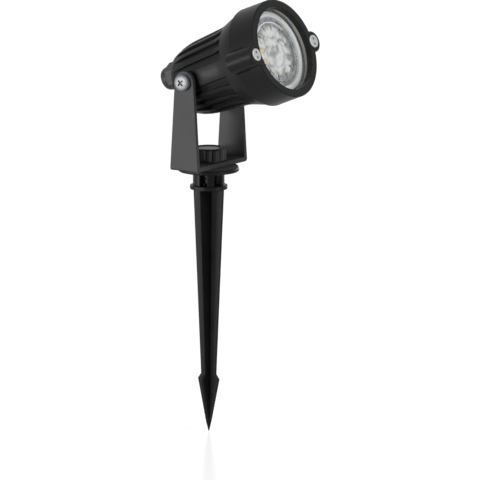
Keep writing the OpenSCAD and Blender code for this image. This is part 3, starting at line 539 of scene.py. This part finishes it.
# CABLE GLAND
# A black nylon gland in the rear face: a hex body on a rubber ring, and a hex nut with
# a domed end that squeezes a rubber seal. No cable is fitted.
gland_nylon, tree, place = new_material("gland_nylon")
flow = add_node(tree, "ShaderNodeTexNoise", sockets={
    "Vector": place, "Scale": 1 / 0.004, "Detail": 3})
tint = add_node(tree, "ShaderNodeMix", {"data_type": "RGBA"}, {
    0: flow.outputs["Fac"], 6: linear("#1f1f20"), 7: linear("#2b2b2c")})
gloss = add_node(tree, "ShaderNodeMapRange", sockets={
    "Value": flow.outputs["Fac"], "From Min": 0.3, "From Max": 0.7,
    "To Min": 0.36, "To Max": 0.48})
add_node(tree, "Principled BSDF", sockets={
    "Base Color": tint.outputs[2], "Roughness": gloss.outputs["Result"],
    "IOR": 1.53, "Specular IOR Level": 0.14})

hex_r = 7.8 / math.cos(math.radians(30))
at_gland = on_head @ Matrix.Translation((0, gland_y, 0))


def hexagon(low, high):
    """A hexagonal bar along Z with a corner at the top."""
    shape = bmesh.new()
    bmesh.ops.create_cone(shape, cap_ends=True, segments=6, radius1=hex_r, radius2=hex_r,
                          depth=high - low, matrix=Matrix.Translation((0, 0, (low + high) / 2)))
    return shape


barrel = turned([(3.8, -23.4), (5.3, -23.4), (5.3, -17.9), (6, -17.0), (6, -9.4), (3.8, -9.4)], 64)
turned_corners = turned([(0, -18.2), (8.3, -18.2), (9.1, -17.5), (9.1, -15.7),
                         (8.3, -15.0), (0, -15.0)], 64)
hex_body = worked(hexagon(-18, -15.2), turned_corners, "INTERSECT")
hex_body = worked(hex_body, barrel, "UNION")
cable_bore = turned([(0, -24), (4.52, -24), (4.52, -20), (3.8, -20), (3.8, -9), (0, -9)], 64)
hex_body = worked(hex_body, cable_bore, "DIFFERENCE")
hex_body.transform(at_gland)
gland_body = made(hex_body, "gland_hex_body", [gland_nylon], edge=0.2)
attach(gland_body, "head")
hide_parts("gland_body")

gland_dome = [(6 + 1.4 * math.cos(math.radians(a)), -25.5 - 4.6 * math.sin(math.radians(a)))
              for a in range(0, 91, 10)]
nut = worked(hexagon(-26.5, -18.1),
             turned([(0, -17), (8.5, -17), (9.2, -19), (9.2, -24.6), (7.4, -25.9), (0, -25.9)], 64),
             "INTERSECT")
nut = worked(nut, turned([(0, -24.5), (7.4, -24.5)] + gland_dome + [(0, -30.1)], 64), "UNION")
nut = worked(nut, turned([(0, -31), (3.6, -31), (3.3, -29.8), (3.3, -27.1), (4.7, -27.1),
                          (4.7, -24), (5.5, -24), (5.5, -17), (0, -17)], 64), "DIFFERENCE")
nut.transform(at_gland)
gland_nut = made(nut, "gland_domed_nut", [gland_nylon], edge=0.2)
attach(gland_nut, "head")
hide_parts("gland_nut")

ring = turned([(6.02, -15.2), (7.2, -15.2), (7.2, -14.2), (6.02, -14.2)], 64)
ring.transform(at_gland)
gland_ring = made(ring, "gland_sealing_ring", [cut_rubber], edge=0.2)
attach(gland_ring, "head")
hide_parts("gland_ring")
# The seal's own shape from the CAD model is right, and only takes the rubber.
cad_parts["gland_seal"].data.materials.clear()
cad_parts["gland_seal"].data.materials.append(cut_rubber)


# DRIVER
# The constant-current driver slides on two rails in the chamber: a green laminate
# board with two capacitors, an inductor, two chips and a terminal block. It stays as
# the CAD model has it, because the closed housing hides it.
driver_finishes = (
    # node, real material, two colours, feature size in mm, metallic, roughness
    ("driver_board", "glass_epoxy_laminate", "#1f5a35", "#2a6b42", 1.2, 0.0, 0.4),
    ("driver_capacitors", "printed_capacitor_sleeve", "#1c2230", "#2a3040", 3.0, 0.0, 0.35),
    ("driver_choke", "enamelled_copper_winding", "#7a3f1c", "#a85a2a", 0.6, 0.6, 0.35),
    ("driver_chips", "moulded_epoxy", "#111112", "#1b1b1c", 0.5, 0.0, 0.6),
    ("terminal_block", "moulded_polyamide", "#b9bab4", "#cacbc5", 2.0, 0.0, 0.5),
    ("led_leads", "pvc_insulation", "#8e1f1a", "#a32a22", 1.5, 0.0, 0.45),
    ("thermal_pad", "filled_silicone_pad", "#8793a0", "#98a3ae", 0.8, 0.0, 0.8),
    ("heat_spreader", "turned_aluminium", "#b4b6b8", "#c6c8ca", 0.7, 1.0, 0.35),
    ("spreader_screws", "small_steel_screws", "#a9aaa8", "#c2c3c1", 0.6, 1.0, 0.3),
    ("board_screws", "small_plated_screws", "#a9aaa8", "#c9cac8", 0.6, 1.0, 0.25),
)
for node_name, finish_name, dark, light, feature, metal, rough in driver_finishes:
    finish, tree, place = new_material(finish_name)
    mottle = add_node(tree, "ShaderNodeTexNoise", sockets={
        "Vector": place, "Scale": 1000 / feature, "Detail": 3})
    tint = add_node(tree, "ShaderNodeMix", {"data_type": "RGBA"}, {
        0: mottle.outputs["Fac"], 6: linear(dark), 7: linear(light)})
    gloss = add_node(tree, "ShaderNodeMapRange", sockets={
        "Value": mottle.outputs["Fac"], "From Min": 0.3, "From Max": 0.7,
        "To Min": rough - 0.06, "To Max": rough + 0.06})
    relief = add_node(tree, "ShaderNodeBump", sockets={
        "Height": mottle.outputs["Fac"], "Strength": 0.15, "Distance": 0.0001})
    add_node(tree, "Principled BSDF", sockets={
        "Base Color": tint.outputs[2], "Metallic": metal, "Roughness": gloss.outputs["Result"],
        "Normal": relief.outputs["Normal"]})
    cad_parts[node_name].data.materials.clear()
    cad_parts[node_name].data.materials.append(finish)


# LED BOARD AND CHIPS
# An aluminium-cored board with a white solder mask sits on the thermal pad. Twelve
# 3.2 mm LED packages ring it, each a white frame round a square of yellow phosphor.
white_mask, tree, place = new_material("white_solder_mask")
# The copper under the mask shows as faint darker areas about 5 mm across.
tracks = add_node(tree, "ShaderNodeTexVoronoi", {"feature": "DISTANCE_TO_EDGE"}, {
    "Vector": place, "Scale": 1 / 0.006})
edges = add_node(tree, "ShaderNodeMapRange", sockets={
    "Value": tracks.outputs["Distance"], "From Min": 0.0, "From Max": 0.12})
tint = add_node(tree, "ShaderNodeMix", {"data_type": "RGBA"}, {
    0: edges.outputs["Result"], 6: linear("#c9cbc9"), 7: linear("#e4e5e2")})
add_node(tree, "Principled BSDF", sockets={
    "Base Color": tint.outputs[2], "Roughness": 0.4, "IOR": 1.5})

board_front = 43.3
board = turned([(0, 41.7), (20.3, 41.7), (20.3, board_front), (0, board_front)], 96)
openings = []
for side in (-1, 1):
    for x, y, radius in ((8.5, 0, 1.45), (1.6, -2.8, 0.82)):
        hole = turned([(0, 41), (radius, 41), (radius, 44), (0, 44)], 24)
        hole.transform(Matrix.Translation((side * x, y, 0)))
        openings.append(hole)
board = worked(board, gathered(openings), "DIFFERENCE")
board.transform(on_head)
led_board = made(board, "white_led_board", [white_mask], edge=0.1)
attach(led_board, "head")
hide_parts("led_board")

# Phosphor set in clear silicone: yellow, with a grain of about 0.3 mm.
phosphor, tree, place = new_material("yellow_phosphor")
grain = add_node(tree, "ShaderNodeTexNoise", sockets={
    "Vector": place, "Scale": 1 / 0.0004, "Detail": 2})
tint = add_node(tree, "ShaderNodeMix", {"data_type": "RGBA"}, {
    0: grain.outputs["Fac"], 6: linear("#c9a233"), 7: linear("#dcbc55")})
add_node(tree, "Principled BSDF", sockets={
    "Base Color": tint.outputs[2], "Roughness": 0.3, "IOR": 1.41})

package = bmesh.new()
bmesh.ops.create_cube(package, size=1, matrix=Matrix.Translation((14.5, 0, board_front + 0.4))
                      @ Matrix.Diagonal((3.2, 3.2, 0.8, 1)))
top = [f for f in package.faces if f.normal.z > 0.9]
bmesh.ops.inset_individual(package, faces=top, thickness=0.35, depth=-0.1)
for face in top:
    face.material_index = 1
package.transform(Matrix.Rotation(math.radians(15), 4, "Z"))
bmesh.ops.spin(package, geom=package.verts[:] + package.edges[:] + package.faces[:],
               cent=(0, 0, 0), axis=(0, 0, 1), angle=math.tau * 11 / 12, steps=11,
               use_duplicate=True)
bmesh.ops.recalc_face_normals(package, faces=package.faces)
package.transform(on_head)
led_chips = made(package, "led_packages", [white_mask, phosphor])
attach(led_chips, "head")
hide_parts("led_chips")


# LENS HOLDER
# A black moulded ring round the LED board. The lens's foot stands on its seat, and its
# wall keeps the lens central.
holder_black, tree, place = new_material("black_polycarbonate")
flow = add_node(tree, "ShaderNodeTexNoise", sockets={
    "Vector": place, "Scale": 1 / 0.005, "Detail": 3})
tint = add_node(tree, "ShaderNodeMix", {"data_type": "RGBA"}, {
    0: flow.outputs["Fac"], 6: linear("#141517"), 7: linear("#202226")})
add_node(tree, "Principled BSDF", sockets={
    "Base Color": tint.outputs[2], "Roughness": 0.35, "IOR": 1.58, "Specular IOR Level": 0.4})

lens_low = 44.7
holder = turned([(22.4, 41.4), (25.7, 41.4), (25.7, 52.1), (24.2, 52.1),
                 (24.2, lens_low), (22.4, lens_low)], 128)
holder.transform(on_head)
lens_holder = made(holder, "lens_holder_ring", [holder_black], edge=0.12)
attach(lens_holder, "head")
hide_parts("lens_holder")


# OPTIC LENS
# A moulded acrylic optic: a flat rim that the glass presses down, a knurled band that
# scatters stray light, a raised ring, and twelve lenslets in sectors round a hub. Its look
# over the white board is painted into its colours: milky, and yellow where it bends a chip's light.
acrylic, tree, place = new_material("clear_moulded_acrylic")
# The flow of the melt bends the light unevenly, in patches of about 6 mm: painted lighter and darker
# patches in the colour, and a faint real ripple.
ripple_and_painted_light = add_node(tree, "ShaderNodeTexNoise", sockets={
    "Vector": place, "Scale": 1 / 0.006, "Detail": 2, "Distortion": 0.4})
painted_light_patches = add_node(tree, "ShaderNodeMapRange", sockets={
    "Value": ripple_and_painted_light.outputs["Fac"], "From Min": 0.4, "From Max": 0.58})
tint = add_node(tree, "ShaderNodeMix", {"data_type": "RGBA"}, {
    0: painted_light_patches.outputs["Result"], 6: linear("#929394"), 7: linear("#dedfde")})
ripple = add_node(tree, "ShaderNodeBump", sockets={
    "Height": ripple_and_painted_light.outputs["Fac"], "Strength": 0.06, "Distance": 0.0003})
add_node(tree, "Principled BSDF", sockets={
    "Base Color": tint.outputs[2], "Roughness": 0.12, "IOR": 1.49, "Alpha": 0.92,
    "Normal": ripple.outputs["Normal"]})

# The rim and the raised ring carry light evenly, and so look whiter and smoother; the whiteness is
# painted light in this lighter copy of the acrylic.
lighter_painted_acrylic, tree, place = new_material("acrylic_painted_lighter")
flow = add_node(tree, "ShaderNodeTexNoise", sockets={
    "Vector": place, "Scale": 1 / 0.009, "Detail": 2})
tint = add_node(tree, "ShaderNodeMix", {"data_type": "RGBA"}, {
    0: flow.outputs["Fac"], 6: linear("#cfd1d3"), 7: linear("#eceeee")})
add_node(tree, "Principled BSDF", sockets={
    "Base Color": tint.outputs[2], "Roughness": 0.1, "IOR": 1.49, "Alpha": 0.93})

# The knurled band turns the light away, and so looks darker than the rest; that is painted shade in
# this darker copy of the acrylic.
darker_painted_acrylic, tree, place = new_material("acrylic_painted_darker")
shade = add_node(tree, "ShaderNodeTexNoise", sockets={
    "Vector": place, "Scale": 1 / 0.0045, "Detail": 2})
painted_light_patches = add_node(tree, "ShaderNodeMapRange", sockets={
    "Value": shade.outputs["Fac"], "From Min": 0.36, "From Max": 0.62})
tint = add_node(tree, "ShaderNodeMix", {"data_type": "RGBA"}, {
    0: painted_light_patches.outputs["Result"], 6: linear("#75777a"), 7: linear("#a6a8a9")})
add_node(tree, "Principled BSDF", sockets={
    "Base Color": tint.outputs[2], "Roughness": 0.15, "IOR": 1.49, "Alpha": 0.85})

# A chip's image, painted enlarged at the surface where the lens would show it: phosphor yellow thinned
# by the acrylic, and hardly more than a tinge where the lens throws it aside.
painted_chip_images = []
for image_name, thin, thick in (("acrylic_with_painted_phosphor_image", "#c9b272", "#d6c79a"),
                                ("acrylic_with_painted_phosphor_tinge", "#c6bd9e", "#d8d5c6")):
    painted_chip_image, tree, place = new_material(image_name)
    grain = add_node(tree, "ShaderNodeTexNoise", sockets={
        "Vector": place, "Scale": 1 / 0.0012, "Detail": 2})
    tint = add_node(tree, "ShaderNodeMix", {"data_type": "RGBA"}, {
        0: grain.outputs["Fac"], 6: linear(thin), 7: linear(thick)})
    add_node(tree, "Principled BSDF", sockets={
        "Base Color": tint.outputs[2], "Roughness": 0.2, "IOR": 1.49})
    painted_chip_images.append(painted_chip_image)


def ringed(shape, count):
    """A piece of the pattern repeated at equal steps round the lens."""
    bmesh.ops.spin(shape, geom=shape.verts[:] + shape.edges[:] + shape.faces[:],
                   cent=(0, 0, 0), axis=(0, 0, 1), angle=math.tau * (count - 1) / count,
                   steps=count - 1, use_duplicate=True)
    return shape


def painted(shape, finish):
    """Gives a whole piece of the pattern one of the lens's finishes."""
    for facet in shape.faces:
        facet.material_index = finish
    return shape


bowl, rim_top, sectors = 51.8, 53.3, 12
lens = turned([(0, 48.1), (20.8, 48.1), (20.8, lens_low), (24, lens_low), (24, 52.2), (25.5, 52.2),
               (25.5, rim_top - 0.2), (25.3, rim_top), (22.3, rim_top), (21.8, bowl + 0.4),
               (19.2, bowl + 0.4), (19.0, 53.0), (18.3, 53.0), (18.1, bowl), (16.6, bowl),
               (8.5, bowl), (0, bowl - 0.5)], 144)
for facet in lens.faces:
    middle = facet.calc_center_median()
    spread = middle.xy.length
    if middle.z > bowl - 0.1:
        # The raised ring takes the lighter acrylic along one arc only: a painted gleam.
        on_ring = 18.1 < spread < 19.2
        painted_gleam_arc = on_ring and 40 < math.degrees(middle.xy.angle_signed(Vector((1, 0)))) < 165
        facet.material_index = 1 if spread > 21.8 or painted_gleam_arc else 2 if spread > 16.6 else 0
tooth = slab([(-0.4, bowl + 0.3), (0.4, bowl + 0.3), (0, bowl + 1.0)], 19.0, 21.7)
tooth.transform(Matrix(((0, 0, 1, 0), (1, 0, 0, 0), (0, 1, 0, 0), (0, 0, 0, 1))))
teeth = ringed(painted(tooth, 2), 66)
# Each lenslet is a keystone pad with sloping sides, between two thin dividing walls.
pillow = slab([(8.9, -1.9), (16.6, -3.6), (16.6, 3.6), (8.9, 1.9)], bowl - 0.2, rim_top - 0.6)
for corner in pillow.verts:
    if corner.co.z > bowl:
        corner.co.x += 0.5 if corner.co.x < 12 else -0.9
        corner.co.y *= 0.86
bmesh.ops.bevel(pillow, geom=pillow.edges[:], offset=0.45, offset_type="OFFSET", segments=3,
                profile=0.5, affect="EDGES", material=-1)
divider = slab([(11.5, -0.12), (21.6, -0.15), (21.6, 0.15), (11.5, 0.12)], bowl - 0.1, bowl + 0.95)
divider.transform(Matrix.Rotation(math.pi / sectors, 4, "Z"))
# Over each chip the outer slope of a dome carries a painted image of it, and the inner slope hides it.
# Two of the twelve send theirs straight at the photograph's camera, and so look deeper.
domes = []
for k in range(sectors):
    straight = k in (5, 6)
    image = (13.1, 2.6, 1.48, 3) if straight else (13.2, 2.2, 1.48, 4)
    for centre, spread, rise, finish in ((11.7 if straight else 12.1, 2.7, 1.5, 0), image):
        dome = bmesh.new()
        bmesh.ops.create_uvsphere(dome, u_segments=24, v_segments=12, radius=1)
        dome.transform(Matrix.Rotation(math.radians(21 + 30 * k), 4, "Z")
                       @ Matrix.Translation((centre, 0, bowl))
                       @ Matrix.Diagonal((spread, spread, rise, 1)))
        domes.append(painted(dome, finish))
pattern = [ringed(pillow, sectors), ringed(painted(divider, 2), sectors)] + domes
optic = gathered([lens, teeth] + pattern)
bmesh.ops.recalc_face_normals(optic, faces=optic.faces)
optic.transform(on_head)
optic_lens = made(optic, "moulded_optic", [acrylic, lighter_painted_acrylic, darker_painted_acrylic] + painted_chip_images)
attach(optic_lens, "head")
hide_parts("optic_lens")


# GLASS AND GASKET
# Toughened clear glass, 3 mm thick with ground edges, presses on a flat ring of
# grey silicone rubber that keeps the water out.
silicone, tree, place = new_material("grey_silicone")
cloud = add_node(tree, "ShaderNodeTexNoise", sockets={
    "Vector": place, "Scale": 1 / 0.005, "Detail": 2})
tint = add_node(tree, "ShaderNodeMix", {"data_type": "RGBA"}, {
    0: cloud.outputs["Fac"], 6: linear("#4c4b48"), 7: linear("#605e59")})
add_node(tree, "Principled BSDF", sockets={
    "Base Color": tint.outputs[2], "Roughness": 0.5, "IOR": 1.41,
    "Subsurface Weight": 0.1, "Subsurface Radius": (0.001, 0.001, 0.001)})
glass_low, glass_high, glass_r = 53.5, 56.5, 27.8
gasket = turned([(26.4, seat_s), (glass_r, seat_s), (glass_r, glass_low), (26.4, glass_low)], 128)
gasket.transform(on_head)
glass_gasket = made(gasket, "silicone_gasket", [silicone], edge=0.15)
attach(glass_gasket, "head")
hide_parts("glass_gasket")

# Clear soda-lime glass, nearly invisible but for its gloss; a trace of dust varies it.
glass, tree, place = new_material("toughened_glass")
dust = add_node(tree, "ShaderNodeTexNoise", sockets={
    "Vector": place, "Scale": 1 / 0.003, "Detail": 4})
film = add_node(tree, "ShaderNodeMapRange", sockets={
    "Value": dust.outputs["Fac"], "From Min": 0.4, "From Max": 0.7,
    "To Min": 0.05, "To Max": 0.09})
add_node(tree, "Principled BSDF", sockets={
    "Base Color": linear("#dfe6e4"), "Roughness": 0.03, "IOR": 1.52,
    "Alpha": film.outputs["Result"]})
# The ground edge scatters light and shows as a pale line inside the bezel.
ground_edge, tree, place = new_material("ground_glass_edge")
grit = add_node(tree, "ShaderNodeTexNoise", sockets={
    "Vector": place, "Scale": 1 / 0.0006, "Detail": 2})
tint = add_node(tree, "ShaderNodeMix", {"data_type": "RGBA"}, {
    0: grit.outputs["Fac"], 6: linear("#f4efe2"), 7: linear("#fdf9ef")})
add_node(tree, "Principled BSDF", sockets={
    "Base Color": tint.outputs[2], "Roughness": 0.5, "IOR": 1.52})
pane = turned([(0, glass_low), (27.4, glass_low), (glass_r, 53.9), (glass_r, 56.1),
               (27.4, glass_high), (0, glass_high)], 128)
for face in pane.faces:
    if abs(face.normal.z) < 0.9:
        face.material_index = 1
pane.transform(on_head)
front_glass = made(pane, "front_glass_pane", [glass, ground_edge])
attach(front_glass, "head")
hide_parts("front_glass")


# FRONT BEZEL AND ITS SCREWS
# A die-cast ring in the housing's black powder coat holds the glass. Two bright screws
# with pairs of pin holes, sunk in its ears, pull it down.
front_s, bezel_edge = 60.3, 0.5
bezel_coat = housing_coat.copy()
bezel_coat.name = "black_powder_coat_bezel"
ring = turned([(0, seat_s), (drum_r, seat_s), (drum_r, front_s - bezel_edge),
               (drum_r - bezel_edge, front_s), (0, front_s)], 144)
for side in (-1, 1):
    ear = turned([(0, seat_s), (ear_r, seat_s), (ear_r, front_s - bezel_edge),
                  (ear_r - bezel_edge, front_s), (0, front_s)], 64)
    ear.transform(Matrix.Translation((side * ear_at, 0, 0)))
    ring = worked(ring, ear, "UNION")
# A pocket behind for the glass, a bore that widens to the front, and a seat in each ear.
opening = turned([(0, 50), (28.2, 50), (28.2, glass_high), (25.8, glass_high), (26.4, 60.8),
                  (0, 60.8)], 144)
ring = worked(ring, opening, "DIFFERENCE")
seats = []
for side in (-1, 1):
    seat = turned([(0, 50), (2.2, 50), (2.2, 58.3), (4.2, 58.3), (4.2, 62), (0, 62)], 48)
    seat.transform(Matrix.Translation((side * ear_at, 0, 0)))
    seats.append(seat)
ring = worked(ring, gathered(seats), "DIFFERENCE")
leave_square(ring, seat_s)
# The bore's wall takes a lighter copy of the coat: painted light, where little lamp light reaches into
# the bore.
painted_light_bore_coat = housing_coat.copy()
painted_light_bore_coat.name = "bore_coat_painted_lighter"
for node in painted_light_bore_coat.node_tree.nodes:
    if node.bl_idname == "ShaderNodeMix":
        node.inputs[6].default_value = linear("#303031")
        node.inputs[7].default_value = linear("#3a3a3b")
for face in ring.faces:
    middle = face.calc_center_median()
    if middle.xy.length < 26.5 and middle.z < front_s - 0.05:
        face.material_index = 1
ring.transform(on_head)
front_bezel = made(ring, "cast_bezel", [bezel_coat, painted_light_bore_coat], edge=0.2)
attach(front_bezel, "head")
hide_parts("front_bezel")

pairs = []
for side in (-1, 1):
    screw = turned([(0, 42.8), (1.6, 42.8), (2, 43.2), (2, 58.3), (4, 58.3), (4, 60.6),
                    (3.7, 60.9), (0, 60.9)], 48)
    holes = []
    for way in (-1, 1):
        hole = turned([(0, 58.4), (0.7, 58.4), (0.7, 62), (0, 62)], 20)
        hole.transform(Matrix.Translation((0, way * 1.65, 0)))
        holes.append(hole)
    screw = worked(screw, gathered(holes), "DIFFERENCE")
    screw.transform(on_head @ Matrix.Translation((side * ear_at, 0, 0)))
    pairs.append(screw)
bezel_screws = made(gathered(pairs), "pin_hole_screws", [steels["stainless_steel"]], edge=0.1)
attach(bezel_screws, "head")
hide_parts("bezel_screws")


# STUDIO
# A white floor just under the spike's point and a white surround. A key light at the left,
# a low strip beside it, one light behind and two in front; a long lens at the photo's angle.
def seen_directly(tree):
    """1 for camera, glossy and transmission rays, which find the set white, and else 0."""
    path = add_node(tree, "ShaderNodeLightPath")
    either = add_node(tree, "ShaderNodeMath", {"operation": "MAXIMUM"}, {
        0: path.outputs["Is Camera Ray"], 1: path.outputs["Is Glossy Ray"]})
    return add_node(tree, "ShaderNodeMath", {"operation": "MAXIMUM"}, {
        0: either.outputs[0], 1: path.outputs["Is Transmission Ray"]}).outputs[0]


studio_floor = bpy.data.materials.new("white_studio_floor")
studio_floor.use_nodes = True
tree = studio_floor.node_tree
lift = add_node(tree, "ShaderNodeMath", {"operation": "MULTIPLY"}, {0: seen_directly(tree), 1: 0.59})
add_node(tree, "Principled BSDF", sockets={
    "Base Color": linear("#bcbcbc"), "Roughness": 0.22, "IOR": 1.45, "Specular IOR Level": 0.08,
    "Emission Color": (1, 1, 1, 1), "Emission Strength": lift.outputs[0]})
sheet = bmesh.new()
bmesh.ops.create_grid(sheet, x_segments=1, y_segments=1, size=30000)
sheet.transform(Matrix.Translation((0, 0, tip_z - 0.2)))
floor_plane = made(sheet, "floor", [studio_floor])

world = bpy.data.worlds.new("studio")
bpy.context.scene.world = world
world.use_nodes = True
tree = world.node_tree
level = add_node(tree, "ShaderNodeMapRange", sockets={
    "Value": seen_directly(tree), "To Min": 0.05, "To Max": 1.0})
add_node(tree, "Background", sockets={"Color": (1, 1, 1, 1), "Strength": level.outputs["Result"]})

aim = Vector((0, -0.01, 0.03))
for name, place, width, height, power in (
        ("key_softbox", (-3.1, 0.6, 0.4), 0.6, 0.5, 100),
        ("left_strip", (-0.48, 0.42, -0.05), 0.3, 0.16, 2.2),
        ("rear_softbox", (3.0, 0.5, 0.6), 1.4, 0.9, 26),
        ("high_front_softbox", (-0.2, -2.15, 2.1), 1.2, 1.0, 46),
        ("low_front_softbox", (0.3, -2.9, 0.2), 1.2, 0.6, 27)):
    lamp = bpy.data.lights.new(name, "AREA")
    lamp.shape, lamp.size, lamp.size_y, lamp.energy = "RECTANGLE", width, height, power
    stand = bpy.data.objects.new(name, lamp)
    stand.location = place
    stand.rotation_euler = (aim - Vector(place)).to_track_quat("-Z", "Y").to_euler()
    bpy.context.scene.collection.objects.link(stand)

# The camera looks from 56.4 degrees left of the front and 9.6 degrees up, 12 m away.
back = Vector((-0.8213, -0.5457, 0.1668)).normalized()
target = Vector((0.0269, -0.0051, -0.0353))
camera = bpy.data.cameras.new("camera")
camera.sensor_width, camera.lens, camera.clip_end = 36, 1468.4, 100
viewpoint = bpy.data.objects.new("camera", camera)
viewpoint.location = target + 12.0 * back
viewpoint.rotation_euler = (-back).to_track_quat("-Z", "Y").to_euler()
bpy.context.scene.collection.objects.link(viewpoint)
bpy.context.scene.camera = viewpoint
bpy.context.scene.view_settings.view_transform = "Standard"
